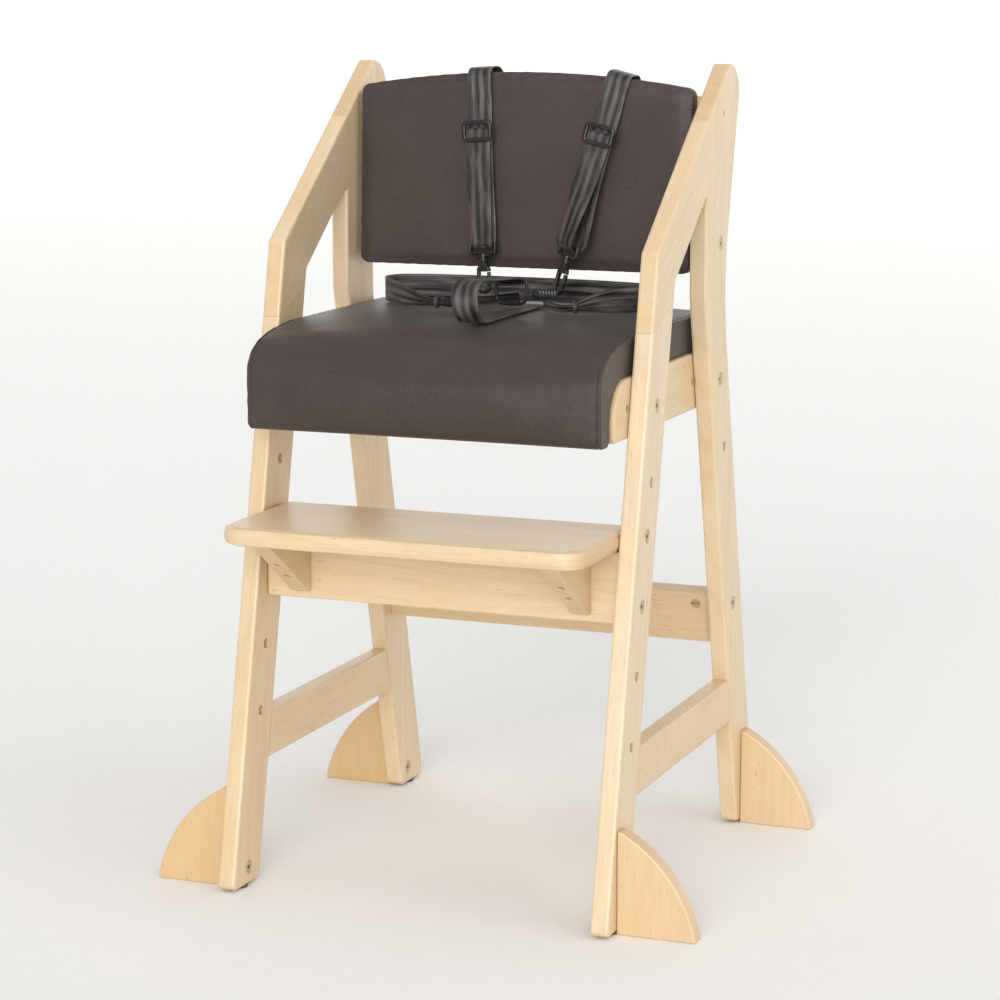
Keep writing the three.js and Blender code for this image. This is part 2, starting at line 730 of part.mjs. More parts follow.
// The webbing turns round the upper bar; the collar under it holds the hook.
const collarTop = -8;
const collarLength = 8;
function eyeBody() {
  const halfWidth = webWidth / 2 + 2.6;
  const rod = drill(2, -halfWidth, halfWidth, 0, 0);
  const ear = (side) => new THREE.BoxGeometry(2, 5, 12).translate(side * (halfWidth - 1), 0, -4);
  const foot = new THREE.BoxGeometry(2 * halfWidth, 5, 3).translate(0, 0, -8.5);
  const collar = new THREE.CylinderGeometry(4.5, 4, collarLength, 20).rotateX(Math.PI / 2);
  return join(rod, ear(-1), ear(1), foot, collar.translate(0, 0, collarTop - 1 - collarLength / 2));
}

// A flat hook with one open side; the gate closes it.
const hookTop = collarTop - 1 - collarLength - gap;
const hookWall = 3.4;
const gateTall = 14;
function hookBody() {
  const half = hookWidth / 2;
  const low = hookTop - hookLength;
  const shell = upright(
    [[-half, low, half - 0.1], [half, low, half - 0.1], [half, hookTop - 2, 4], [-half, hookTop - 2, 4]],
    0,
    hookThickness,
  );
  const neck = new THREE.CylinderGeometry(3, 3, 4, 16).rotateX(Math.PI / 2).translate(0, 0, hookTop - 2);
  const open = half - hookWall;
  const eye = upright(
    [
      [-open, low + hookWall, open - 0.1],
      [open, low + hookWall, open - 0.1],
      [open, hookTop - 9, 1.5],
      [-open, hookTop - 9, 1.5],
    ],
    0,
    2 * hookThickness,
  );
  const mouth = new THREE.BoxGeometry(2 * hookWall, 2 * hookThickness, gateTall + 2 * gap);
  mouth.translate(half - hookWall / 2 + 0.6, 0, hookTop - 10 - gateTall / 2);
  return cut(join(shell, neck), eye, mouth);
}

function gateBody() {
  const half = hookWall / 2 - 0.1;
  const top = hookTop - 10 - gap / 3;
  const low = hookTop - 10 - gateTall + gap / 3;
  const x = hookWidth / 2 - hookWall / 2;
  return upright(
    [[x - half, low, 0.8], [x + half, low, 0.8], [x + half, top, 1.5], [x - half, top, 1.5]],
    0,
    hookThickness - 0.6,
  );
}

shoulderHarness('left', -strapX, radians(-leftSlant), radians(leftTilt), radians(-leftTurn), leftLoop);
shoulderHarness('right', rightStrapX, radians(rightSlant), radians(rightTilt), radians(-rightTurn), rightLoop);

// The waist belt lies on the seat on its edge, and passes under the backrest.
const beltEnd = padWidth / 2 - beltInset;
const beltLine = [
  [-36, 16],
  [51 - beltEnd, 17],
  [24 - beltEnd, 33],
  [2 - beltEnd, 50],
  ...arc(-beltEnd, 63, 12, -90, -270, 6),
  [36 - beltEnd, 80],
  [0, 83],
  [beltEnd - 36, 80],
  ...arc(beltEnd, 66, 12, 90, -60, 6),
  [beltEnd - 24, 36],
  [beltEnd - 44, 18],
  [52, 9],
];
const belt = new THREE.ExtrudeGeometry(band(beltLine, web), { depth: beltWidth, bevelEnabled: false });
add('waist_belt', belt.translate(0, 0, seatTop + 4), webbing());

// The crotch strap runs forward over the seat, turns over in a loop and comes back to the ring,
// whose upper bar it goes round.
const crotchX = 22;
const crotchRest = seatTop + 4 + web;
const loopRadius = 19;
const ringY = -16;
const ringZ = crotchRest + 29; // middle of its upper bar
const turnRadius = 3.4;
const crotchLine = [
  [40, crotchRest],
  [-40, crotchRest],
  ...arc(-112, crotchRest + loopRadius, loopRadius, -90, -270, 10),
  [-70, crotchRest + 36.5],
  ...arc(ringY, ringZ, turnRadius, 90, -90, 6),
  [ringY - 14, ringZ - turnRadius + 0.4],
];
const crotch = new THREE.ExtrudeGeometry(band(crotchLine, web), { depth: webWidth, bevelEnabled: false });
crotch.translate(0, 0, crotchX - webWidth / 2).applyMatrix4(faceAcross);
add('crotch_strap', crotch, webbing());

function ringOutline(inset, corner) {
  const half = ringWidth / 2 - inset;
  const top = ringBar / 2 - inset;
  const low = top - (ringHeight - 2 * inset);
  return [[-half, low, corner], [half, low, corner], [half, top, 1], [-half, top, 1]];
}
const ring = cut(
  upright(ringOutline(0, 10), 0, ringBar),
  upright(ringOutline(ringBar, 10 - ringBar), 0, 2 * ringBar),
);
add('waist_ring', ring.translate(crotchX, ringY, ringZ), moulded());

const waistHook = upright([[0, -5, 4], [26, -5, 2], [26, 5, 2], [0, 5, 4]], 0, 5);
waistHook.translate(crotchX + ringWidth / 2 + 1, ringY + 8, ringZ - 12);
add('waist_hook', waistHook, moulded());

// The origin is on the floor, under the middle of the chair's overall box.
const box = new THREE.Box3().setFromObject(chair);
chair.position.y = -(box.min.y + box.max.y) / 2;

export default chair;
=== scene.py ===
"""The looks of a wooden baby high chair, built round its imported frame.

Metres; X runs across the chair, Y from its front to its back, Z up from the floor.
Shapes are worked out in millimetres and placed through `MM`.
"""

import json
import math

import bpy
import numpy as np
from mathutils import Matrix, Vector


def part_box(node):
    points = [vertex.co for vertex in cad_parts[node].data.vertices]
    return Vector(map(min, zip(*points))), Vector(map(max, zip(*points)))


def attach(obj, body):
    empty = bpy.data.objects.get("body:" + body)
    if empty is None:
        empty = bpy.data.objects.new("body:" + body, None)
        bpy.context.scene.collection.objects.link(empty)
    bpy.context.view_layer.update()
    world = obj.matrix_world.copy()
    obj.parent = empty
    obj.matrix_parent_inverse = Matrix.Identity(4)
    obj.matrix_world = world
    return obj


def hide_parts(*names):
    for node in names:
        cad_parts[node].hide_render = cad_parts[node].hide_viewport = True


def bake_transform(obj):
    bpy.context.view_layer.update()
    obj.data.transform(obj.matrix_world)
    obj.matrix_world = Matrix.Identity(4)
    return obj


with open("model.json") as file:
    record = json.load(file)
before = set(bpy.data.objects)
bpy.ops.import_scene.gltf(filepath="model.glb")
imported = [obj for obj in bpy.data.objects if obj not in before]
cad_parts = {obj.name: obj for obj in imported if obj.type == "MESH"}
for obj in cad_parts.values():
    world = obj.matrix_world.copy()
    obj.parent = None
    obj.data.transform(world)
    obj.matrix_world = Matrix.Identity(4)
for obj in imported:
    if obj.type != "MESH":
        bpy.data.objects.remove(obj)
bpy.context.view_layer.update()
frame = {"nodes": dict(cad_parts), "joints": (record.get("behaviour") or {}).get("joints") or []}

bl_info = {
    "name": "Baby high chair",
    "version": (1, 0, 0),
    "blender": (4, 5, 0),
    "location": "3D View > Sidebar > High chair",
    "description": "Builds the cushions, harness and finishes of a wooden baby high chair",
    "category": "Add Mesh",
}

MM = 0.001
TAU = 2 * math.pi


# ---- Colours --------------------------------------------------------------------------------

def linear(code):
    """An sRGB hex value as linear red, green, blue and a full alpha."""
    channels = [int(code[i:i + 2], 16) / 255 for i in (1, 3, 5)]
    return tuple(c / 12.92 if c <= 0.04045 else ((c + 0.055) / 1.055) ** 2.4 for c in channels) + (1.0,)


def colour_setting(name, description, code):
    return bpy.props.FloatVectorProperty(
        name=name, description=description, default=linear(code), size=4, subtype="COLOR", min=0, max=1
    )


def length_setting(name, description, millimetres):
    return bpy.props.FloatProperty(
        name=name, description=description, default=millimetres * MM, min=0, unit="LENGTH", precision=4
    )


class HighChairColours(bpy.types.PropertyGroup):
    """Colours of the chair's finishes."""

    birch_pale: colour_setting("Birch, pale", "Sapwood between the growth rings", "#E3D2B4")
    birch_warm: colour_setting("Birch, warm", "Growth rings and broad figure", "#D1AE7D")
    birch_deep: colour_setting("Birch, deep", "Fibre streaks and end grain", "#AC7F4C")
    leatherette: colour_setting("Leatherette", "Cover of the seat and backrest", "#403734")
    webbing: colour_setting("Webbing", "Harness straps", "#13100F")
    moulded: colour_setting("Moulded black", "Sliders, hooks and rings", "#0E0D0C")
    zinc: colour_setting("Zinc", "Yellow passivated bolts and nuts", "#C9B88E")
    felt: colour_setting("Felt", "Glides under the legs", "#2B2724")
    floor: colour_setting("Floor", "Studio floor", "#F3F2F0")


class HighChairSizes(bpy.types.PropertyGroup):
    """Sizes of what the cushions and the harness add to the frame."""

    seat_crown: length_setting("Seat crown", "Most that the seat pad swells", 5)
    back_crown: length_setting("Backrest crown", "Most that the backrest pad swells", 2.4)
    seam_depth: length_setting("Seam depth", "Depth of a sewn seam", 1.1)
    pucker: length_setting("Pucker", "Height of the puckers beside a seam", 0.35)
    web: length_setting("Web thickness", "Thickness of the webbing", 1.4)
    web_width: length_setting("Web width", "Width of the shoulder straps", 25)
    lens: bpy.props.FloatProperty(name="Lens", description="Focal length", default=104.03, unit="CAMERA")


def colours():
    return bpy.context.scene.high_chair_colours


def sizes():
    return bpy.context.scene.high_chair_sizes


# ---- Mesh building --------------------------------------------------------------------------

def shell(rows, ring=False, across=None, along=None):
    """A closed shell from rows of points, shape (m, n, 3): each row is a closed section, and the
    rows either form a ring or are closed at both ends by a fan to the row's middle.

    `across` (n + 1 values) and `along` (m, or m + 1 for a ring) give the UV map in metres.
    Returns the points, the quads and the fans' triangles, and the UV map of each.
    """
    m, n, _ = rows.shape
    steps = m if ring else m - 1
    i, j = np.indices((steps, n))
    after_i, after_j = (i + 1) % m, (j + 1) % n
    quads = np.stack([i * n + j, i * n + after_j, after_i * n + after_j, after_i * n + j], -1)
    across = np.linspace(0, 1, n + 1) if across is None else np.asarray(across)
    along = np.linspace(0, 1, m + 1) if along is None else np.asarray(along)
    corner_u = np.stack([across[j], across[j + 1], across[j + 1], across[j]], -1)
    corner_v = np.stack([along[i], along[i], along[i + 1], along[i + 1]], -1)
    quad_uvs = np.stack([corner_u, corner_v], -1).reshape(-1, 4, 2)
    points = rows.reshape(-1, 3)
    fans, fan_uvs = np.empty((0, 3), int), np.empty((0, 3, 2))
    if not ring:
        points = np.concatenate([points, rows[:1].mean(1), rows[-1:].mean(1)])
        rim = np.arange(n)
        ahead = np.roll(rim, -1)
        last = (m - 1) * n
        first_fan = np.stack([ahead, rim, np.full(n, m * n)], -1)
        last_fan = np.stack([last + rim, last + ahead, np.full(n, m * n + 1)], -1)
        fans = np.concatenate([first_fan, last_fan])
        rim_uvs = np.stack([np.tile(across[:-1], 2), np.repeat(along[[0, m - 1]], n)], -1)
        fan_uvs = np.repeat(rim_uvs[:, None], 3, 1)
    return points, quads.reshape(-1, 4), fans, quad_uvs, fan_uvs


def volume(points, quads, fans):
    """Signed volume of a closed shell, as the sum of the tetrahedra from the origin to each face."""
    triangles = np.concatenate([quads[:, [0, 1, 2]], quads[:, [0, 2, 3]], fans])
    a, b, c = np.moveaxis(points[triangles], 1, 0)
    return float(np.einsum("ij,ij->i", a, np.cross(b, c)).sum()) / 6


def faced_out(piece_shell):
    """The same shell, with its faces turned round if they point inwards."""
    points, quads, fans, quad_uvs, fan_uvs = piece_shell
    if volume(points, quads, fans) < 0:
        return points, quads[:, ::-1], fans[:, ::-1], quad_uvs[:, ::-1], fan_uvs[:, ::-1]
    return piece_shell


def build(name, shells, body, material):
    """One smooth-shaded object from closed shells, whose faces all point outwards."""
    points, faces, uvs = [], [], []
    start = 0
    for shell_points, quads, fans, quad_uvs, fan_uvs in map(faced_out, shells):
        points.append(shell_points)
        faces += (quads + start).tolist() + (fans + start).tolist()
        uvs += [quad_uvs.ravel(), fan_uvs.ravel()]
        start += len(shell_points)
    mesh = bpy.data.meshes.new(name)
    mesh.from_pydata(np.concatenate(points).tolist(), [], faces)
    layer = mesh.uv_layers.new(name="strap")
    layer.data.foreach_set("uv", np.concatenate(uvs).astype(np.float32))
    mesh.polygons.foreach_set("use_smooth", [True] * len(faces))
    mesh.materials.append(material)
    mesh.update()
    piece = bpy.data.objects.new(name, mesh)
    bpy.context.scene.collection.objects.link(piece)
    if body:
        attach(piece, body)
    return piece


def soften(piece, angle=35):
    """Keeps faces that meet at more than `angle` degrees apart in the shading."""
    piece.data.set_sharp_from_angle(angle=math.radians(angle))


def rounded_section(width, depth, radius, steps=4):
    """A closed rectangle with round corners: each corner is a quarter circle of `radius`."""
    quarter = np.linspace(0, math.pi / 2, steps + 1)
    corners = []
    for k, (sx, sy) in enumerate(((1, 1), (-1, 1), (-1, -1), (1, -1))):
        turn = quarter + k * math.pi / 2
        x = sx * (width / 2 - radius) + radius * np.cos(turn)
        y = sy * (depth / 2 - radius) + radius * np.sin(turn)
        corners.append(np.stack([x, y], -1))
    return np.concatenate(corners)


def round_section(radius, count=20):
    turn = np.linspace(0, TAU, count, endpoint=False)
    return radius * np.stack([np.cos(turn), np.sin(turn)], -1)


def carry(section, path, side, up, scale=None):
    """Rows of points: the section's first number along `side` and its second along `up`, added to
    each point of the path. `scale` (m, 2) stretches the section along the way."""
    scale = np.ones((len(path), 2)) if scale is None else scale
    across = section[None, :, 0, None] * scale[:, None, 0:1] * side[:, None, :]
    upward = section[None, :, 1, None] * scale[:, None, 1:2] * up[:, None, :]
    return path[:, None, :] + across + upward


def closed_tangents(path):
    ahead = np.roll(path, -1, 0) - np.roll(path, 1, 0)
    return ahead / np.linalg.norm(ahead, axis=-1, keepdims=True)


def open_tangents(path):
    ahead = np.gradient(path, axis=0)
    return ahead / np.linalg.norm(ahead, axis=-1, keepdims=True)


def distance_along(path):
    return np.concatenate([[0], np.cumsum(np.linalg.norm(np.diff(path, axis=0), axis=-1))])


def resample(values, path, count):
    """The columns of `values`, spread evenly along the length of `path`."""
    length = distance_along(path)
    even = np.linspace(0, length[-1], count)
    return np.stack([np.interp(even, length, column) for column in np.asarray(values).T], -1)


def arc(centre, radius, start, end, steps):
    """Points on a circular arc about (a, b), from one angle to another, in degrees."""
    turn = np.radians(np.linspace(start, end, steps))
    return np.stack([centre[0] + radius * np.cos(turn), centre[1] + radius * np.sin(turn)], -1)


def rounded_loop(half_width, low, high, radius, steps=8):
    """A closed path in X and Z round a rectangle with round corners."""
    spots = (
        (half_width - radius, high - radius, 0),
        (-half_width + radius, high - radius, 90),
        (-half_width + radius, low + radius, 180),
        (half_width - radius, low + radius, 270),
    )
    path = np.concatenate([arc((x, z), radius, a, a + 90, steps) for x, z, a in spots])
    return resample(np.vstack([path, path[:1]]), np.vstack([path, path[:1]]), 65)[:-1]


def curve_through(points, count):
    """A smooth curve through given rows of values (Catmull-Rom), with `count` samples."""
    p = np.asarray(points, float)
    p = np.vstack([2 * p[0] - p[1], p, 2 * p[-1] - p[-2]])
    t = np.linspace(0, len(points) - 1 - 1e-9, count)
    k = t.astype(int)
    f = (t - k)[:, None]
    a, b, c, d = p[k], p[k + 1], p[k + 2], p[k + 3]
    return 0.5 * (2 * b + (c - a) * f + (2 * a - 5 * b + 4 * c - d) * f**2 + (3 * b - a - 3 * c + d) * f**3)


def smoothstep(x, low, high):
    t = np.clip((x - low) / (high - low), 0, 1)
    return t * t * (3 - 2 * t)


class Place:
    """A frame of three directions at a point: turns local millimetres into metres in the room."""

    def __init__(self, origin, x, y, z):
        self.origin = np.array(origin, float)
        self.axes = np.array([x, y, z], float)

    def __call__(self, points):
        return self.origin + np.asarray(points, float) @ self.axes * MM

    def turned(self, degrees):
        """The same place, turned about its own Z."""
        turn = math.radians(degrees)
        x, y, z = self.axes
        return Place(
            self.origin,
            x * math.cos(turn) + y * math.sin(turn),
            y * math.cos(turn) - x * math.sin(turn),
            z,
        )


def in_plane(rows, place):
    """Rows of local (x, y, z) millimetres, placed."""
    return place(rows.reshape(-1, 3)).reshape(rows.shape)


def turned_shell(profile, place, count=28, axis="z"):
    """A turned shell from a profile of (distance along the axis, radius)."""
    turn = np.linspace(0, TAU, count, endpoint=False)
    profile = np.asarray(profile, float)
    along = profile[:, 0][:, None] + np.zeros((1, count))
    a = profile[:, 1][:, None] * np.cos(turn)
    b = profile[:, 1][:, None] * np.sin(turn)
    order = {"x": (along, a, b), "y": (b, along, a), "z": (a, b, along)}[axis]
    return shell(in_plane(np.stack(order, -1), place))


def bar_shell(start, end, section, up, place, ease=0.6):
    """A straight bar between two local points, its section's second number along `up`. Towards
    each end the section shrinks as a quarter circle of radius `ease` does."""
    start, end, up = (np.asarray(v, float) for v in (start, end, up))
    length = np.linalg.norm(end - start)
    ahead = (end - start) / length
    turn = np.linspace(0, math.pi / 2, 5)
    near = ease * (1 - np.cos(turn))
    shrink = ease * (1 - np.sin(turn))
    stations = np.concatenate([near, (length - near)[::-1]])
    shrink = np.concatenate([shrink, shrink[::-1]])
    scale = 1 - shrink[:, None] / np.abs(section).max(0)[None, :]
    count = len(stations)
    side = np.tile(np.cross(up, ahead), (count, 1))
    path = start + stations[:, None] * ahead
    return shell(in_plane(carry(section, path, side, np.tile(up, (count, 1)), scale), place))


# ---- Materials ------------------------------------------------------------------------------

def node(tree, kind, links=(), **settings):
    """Adds a node of `kind`, sets its properties, and fills its sockets from (socket, value or
    output) pairs."""
    made = tree.nodes.new("ShaderNode" + kind)
    for name, value in settings.items():
        setattr(made, name, value)
    for socket, value in links:
        if isinstance(value, bpy.types.NodeSocket):
            tree.links.new(value, made.inputs[socket])
        else:
            made.inputs[socket].default_value = value
    return made


def new_material(name):
    """An empty material with its Principled shader and its output."""
    material = bpy.data.materials.new(name)
    material.use_nodes = True
    tree = material.node_tree
    tree.nodes.clear()
    shader = node(tree, "BsdfPrincipled")
    node(tree, "OutputMaterial", [("Surface", shader.outputs["BSDF"])])
    return material, tree, shader


def ramp(tree, factor, stops, interpolation="LINEAR"):
    """A colour ramp over `factor`, from (position, colour or grey) stops."""
    made = node(tree, "ValToRGB", [("Fac", factor)])
    band = made.color_ramp
    band.interpolation = interpolation
    while len(band.elements) < len(stops):
        band.elements.new(0.5)
    for element, (position, colour) in zip(band.elements, stops):
        element.position = position
        element.color = colour if hasattr(colour, "__len__") else (colour, colour, colour, 1)
    return made.outputs["Color"]


def blend_colours(tree, factor, first, second, mode="MIX"):
    mixed = node(
        tree, "Mix", [("Factor", factor), (6, first), (7, second)], data_type="RGBA", blend_type=mode
    )
    return mixed.outputs[2]


def calculate(tree, operation, first, second=0.0, clamp=False):
    made = node(tree, "Math", [(0, first), (1, second)], operation=operation, use_clamp=clamp)
    return made.outputs["Value"]


def lacquered_birch(name, along, tone=0.0, offset=0.0, flat=(1, 0, 0)):
    """Birch board, planed, sanded and sprayed with clear satin lacquer: pale cream wood with faint
    growth rings, short fibre streaks and a soft broad gloss. `along` is the way of the grain,
    `flat` the board's thin direction, `tone` from -1, pale, to 1, warm."""
    material, tree, shader = new_material(name)
    shade = colours()
    ahead = Vector(along).normalized()
    thin = Vector(flat).normalized()
    across = ahead.cross(thin).normalized()
    place = node(tree, "TexCoord").outputs["Object"]

    def part(direction):
        return node(
            tree, "VectorMath", [(0, place), (1, tuple(direction))], operation="DOT_PRODUCT"
        ).outputs["Value"]

    axes = [("X", part(ahead)), ("Y", part(across)), ("Z", part(thin))]
    grain = node(tree, "CombineXYZ", axes).outputs["Vector"]
    grain = node(
        tree, "VectorMath", [(0, grain), (1, (offset, 1.7 * offset, 0.4 * offset))], operation="ADD"
    ).outputs["Vector"]

    def stretched(scale, vector=grain):
        return node(tree, "Mapping", [("Vector", vector), ("Scale", scale)]).outputs["Vector"]

    # Growth rings: 14 mm apart on the flat of a board, pulled into long arches by slow noise.
    wander = node(
        tree, "TexNoise", [("Vector", stretched((2.2, 16, 16))), ("Scale", 1.0), ("Detail", 3.0)]
    ).outputs["Fac"]
    ring_place = node(
        tree, "VectorMath",
        [(0, stretched((1.2, 70, 110))), (1, node(tree, "CombineXYZ", [
            ("Y", calculate(tree, "MULTIPLY", wander, 5.5))]).outputs["Vector"])],
        operation="ADD",
    ).outputs["Vector"]
    rings = node(
        tree, "TexWave",
        [("Vector", ring_place), ("Scale", 0.32), ("Distortion", 1.6), ("Detail", 3.0),
         ("Detail Scale", 0.7), ("Detail Roughness", 0.6)],
        wave_type="BANDS", bands_direction="Y", wave_profile="SIN",
    ).outputs["Fac"]
    # Fibres: about 1 mm wide and 35 mm long; real ones are finer than the picture can show.
    fibres = node(
        tree, "TexNoise",
        [("Vector", stretched((28, 950, 950))), ("Scale", 1.0), ("Detail", 4.0), ("Roughness", 0.62)],
    ).outputs["Fac"]
    pores = node(
        tree, "TexNoise",
        [("Vector", stretched((110, 1500, 1500))), ("Scale", 1.0), ("Detail", 2.0)],
    ).outputs["Fac"]
    # Figure: cloudy patches 30 mm across that catch the light.
    cloud = node(
        tree, "TexNoise",
        [("Vector", stretched((9, 32, 32))), ("Scale", 1.0), ("Detail", 4.0), ("Roughness", 0.55)],
    ).outputs["Fac"]
    # Flecks: sparse brown dashes 8 mm long.
    fleck = node(
        tree, "TexNoise", [("Vector", stretched((70, 620, 620))), ("Scale", 1.0), ("Detail", 1.0)]
    ).outputs["Fac"]

    warmth = calculate(tree, "ADD", calculate(tree, "MULTIPLY", cloud, 0.75), 0.12 + 0.22 * tone)
    colour = blend_colours(tree, calculate(tree, "MULTIPLY", warmth, 0.8, True),
                           shade.birch_pale, shade.birch_warm)
    ring_share = calculate(tree, "MULTIPLY", ramp(tree, rings, [(0.45, 0.0), (0.93, 1.0)]), 0.2)
    colour = blend_colours(tree, ring_share, colour, shade.birch_warm)
    fibre_share = calculate(tree, "MULTIPLY", ramp(tree, fibres, [(0.5, 0.0), (0.78, 1.0)]), 0.26)
    colour = blend_colours(tree, fibre_share, colour, shade.birch_deep)
    pore_share = calculate(tree, "MULTIPLY", ramp(tree, pores, [(0.6, 0.0), (0.74, 1.0)]), 0.22)
    colour = blend_colours(tree, pore_share, colour, shade.birch_deep)
    fleck_share = calculate(tree, "MULTIPLY", ramp(tree, fleck, [(0.72, 0.0), (0.77, 1.0)]), 0.5)
    colour = blend_colours(tree, fleck_share, colour, shade.birch_deep)

    # Cut across the grain, birch drinks the lacquer: darker and finely speckled.
    facing = node(
        tree, "VectorMath",
        [(0, node(tree, "TexCoord").outputs["Normal"]), (1, tuple(ahead))], operation="DOT_PRODUCT",
    ).outputs["Value"]
    end_share = ramp(tree, calculate(tree, "ABSOLUTE", facing), [(0.45, 0.0), (0.9, 1.0)])
    speckle = node(
        tree, "TexNoise", [("Vector", place), ("Scale", 900.0), ("Detail", 2.0)]
    ).outputs["Fac"]
    end_colour = blend_colours(tree, ramp(tree, speckle, [(0.35, 0.15), (0.7, 0.75)]),
                               shade.birch_warm, shade.birch_deep)
    colour = blend_colours(tree, calculate(tree, "MULTIPLY", end_share, 0.55), colour, end_colour)

    rough = calculate(tree, "ADD", calculate(tree, "MULTIPLY", cloud, 0.14),
                      calculate(tree, "MULTIPLY", fibres, 0.1))
    height = calculate(tree, "ADD", calculate(tree, "MULTIPLY", fibres, 0.6),
                       calculate(tree, "MULTIPLY", rings, 0.3))
    bump = node(tree, "Bump", [("Height", height), ("Strength", 0.22), ("Distance", 0.0004)])
    tree.links.new(colour, shader.inputs["Base Color"])
    tree.links.new(calculate(tree, "ADD", rough, 0.27), shader.inputs["Roughness"])
    tree.links.new(bump.outputs["Normal"], shader.inputs["Normal"])
    shader.inputs["IOR"].default_value = 1.5
    shader.inputs["Coat Weight"].default_value = 0.22
    shader.inputs["Coat Roughness"].default_value = 0.24
    return material


def birch_plywood(name, thin):
    """Birch plywood, lacquered: rotary-cut face veneer with wide cloudy figure, and on the edges
    the stripes of its plies, 1.4 mm each, light and dark in turn. `thin` points through the plies."""
    material, tree, shader = new_material(name)
    shade = colours()
    normal = node(tree, "TexCoord")
    through = Vector(thin).normalized()
    depth = node(
        tree, "VectorMath", [(0, normal.outputs["Object"]), (1, tuple(through))], operation="DOT_PRODUCT"
    ).outputs["Value"]
    plies = calculate(tree, "SINE", calculate(tree, "MULTIPLY", depth, TAU / (2.8 * MM)))
    figure = node(tree, "Mapping", [("Vector", normal.outputs["Object"]), ("Scale", (6, 60, 60))])
    cloud = node(
        tree, "TexNoise",
        [("Vector", figure.outputs["Vector"]), ("Scale", 1.0), ("Detail", 6.0), ("Distortion", 0.8)],
    ).outputs["Fac"]
    fine = node(tree, "Mapping", [("Vector", normal.outputs["Object"]), ("Scale", (60, 900, 900))])
    fibres = node(
        tree, "TexNoise", [("Vector", fine.outputs["Vector"]), ("Scale", 1.0), ("Detail", 3.0)]
    ).outputs["Fac"]
    colour = blend_colours(tree, ramp(tree, cloud, [(0.3, 0.1), (0.7, 0.8)]),
                           shade.birch_pale, shade.birch_warm)
    colour = blend_colours(tree, ramp(tree, fibres, [(0.55, 0.0), (0.8, 0.35)]), colour, shade.birch_deep)
    facing = node(
        tree, "VectorMath", [(0, normal.outputs["Normal"]), (1, tuple(through))], operation="DOT_PRODUCT"
    ).outputs["Value"]
    edge = ramp(tree, calculate(tree, "ABSOLUTE", facing), [(0.3, 1.0), (0.7, 0.0)])
    stripe = blend_colours(tree, ramp(tree, plies, [(0.35, 0.0), (0.6, 1.0)]), colour, shade.birch_deep)
    colour = blend_colours(tree, calculate(tree, "MULTIPLY", edge, 0.8), colour, stripe)
    bump = node(tree, "Bump", [("Height", fibres), ("Strength", 0.2), ("Distance", 0.0004)])
    tree.links.new(colour, shader.inputs["Base Color"])
    tree.links.new(bump.outputs["Normal"], shader.inputs["Normal"])
    shader.inputs["Roughness"].default_value = 0.5
    shader.inputs["IOR"].default_value = 1.5
    return material


def embossed_leatherette():
    """Polyurethane leatherette on knit backing, embossed: a fine pebbled grain about 1 mm across
    (drawn a little coarser than the real 0.7 mm), low gloss that runs in broad soft bands, and
    painted shade in the creases of the grain."""
    material, tree, shader = new_material("embossed_leatherette")
    shade = colours()
    place = node(tree, "TexCoord").outputs["Object"]
    bent = node(tree, "TexNoise", [("Vector", place), ("Scale", 240.0), ("Detail", 2.0)])
    bent = node(tree, "Mix", [("Factor", 0.0022), (4, place), (5, bent.outputs["Color"])],
                data_type="VECTOR").outputs[1]
    cells = node(
        tree, "TexVoronoi", [("Vector", bent), ("Scale", 900.0), ("Smoothness", 0.6)],
        feature="SMOOTH_F1",
    ).outputs["Distance"]
    creases = node(
        tree, "TexVoronoi", [("Vector", bent), ("Scale", 380.0)], feature="DISTANCE_TO_EDGE"
    ).outputs["Distance"]
    mottle = node(
        tree, "TexNoise", [("Vector", place), ("Scale", 16.0), ("Detail", 5.0), ("Roughness", 0.6)]
    ).outputs["Fac"]
    pebble = ramp(tree, cells, [(0.1, 1.0), (0.75, 0.0)])
    crease = ramp(tree, creases, [(0.0, 0.0), (0.09, 1.0)])
    height = calculate(tree, "ADD", calculate(tree, "MULTIPLY", pebble, 0.7),
                       calculate(tree, "MULTIPLY", crease, 0.3))
    # Painted shade: the creases between the pebbles are darkened towards black.
    crease_shade = blend_colours(tree, 0.45, shade.leatherette, (0.0, 0.0, 0.0, 1.0))
    light = blend_colours(tree, 0.035, shade.leatherette, (0.55, 0.42, 0.36, 1.0))
    colour = blend_colours(tree, ramp(tree, mottle, [(0.3, 0.25), (0.7, 1.0)]), shade.leatherette, light)
    colour = blend_colours(tree, ramp(tree, crease, [(0.0, 0.55), (1.0, 0.0)]), colour, crease_shade)
    rough = calculate(tree, "ADD", calculate(tree, "MULTIPLY", mottle, 0.12),
                      calculate(tree, "MULTIPLY", pebble, -0.06))
    bump = node(tree, "Bump", [("Height", height), ("Strength", 0.35), ("Distance", 0.0003)])
    tree.links.new(colour, shader.inputs["Base Color"])
    tree.links.new(calculate(tree, "ADD", rough, 0.38), shader.inputs["Roughness"])
    tree.links.new(bump.outputs["Normal"], shader.inputs["Normal"])
    shader.inputs["IOR"].default_value = 1.47
    shader.inputs["Specular IOR Level"].default_value = 0.28
    shader.inputs["Sheen Weight"].default_value = 0.06
    shader.inputs["Sheen Roughness"].default_value = 0.45
    return material


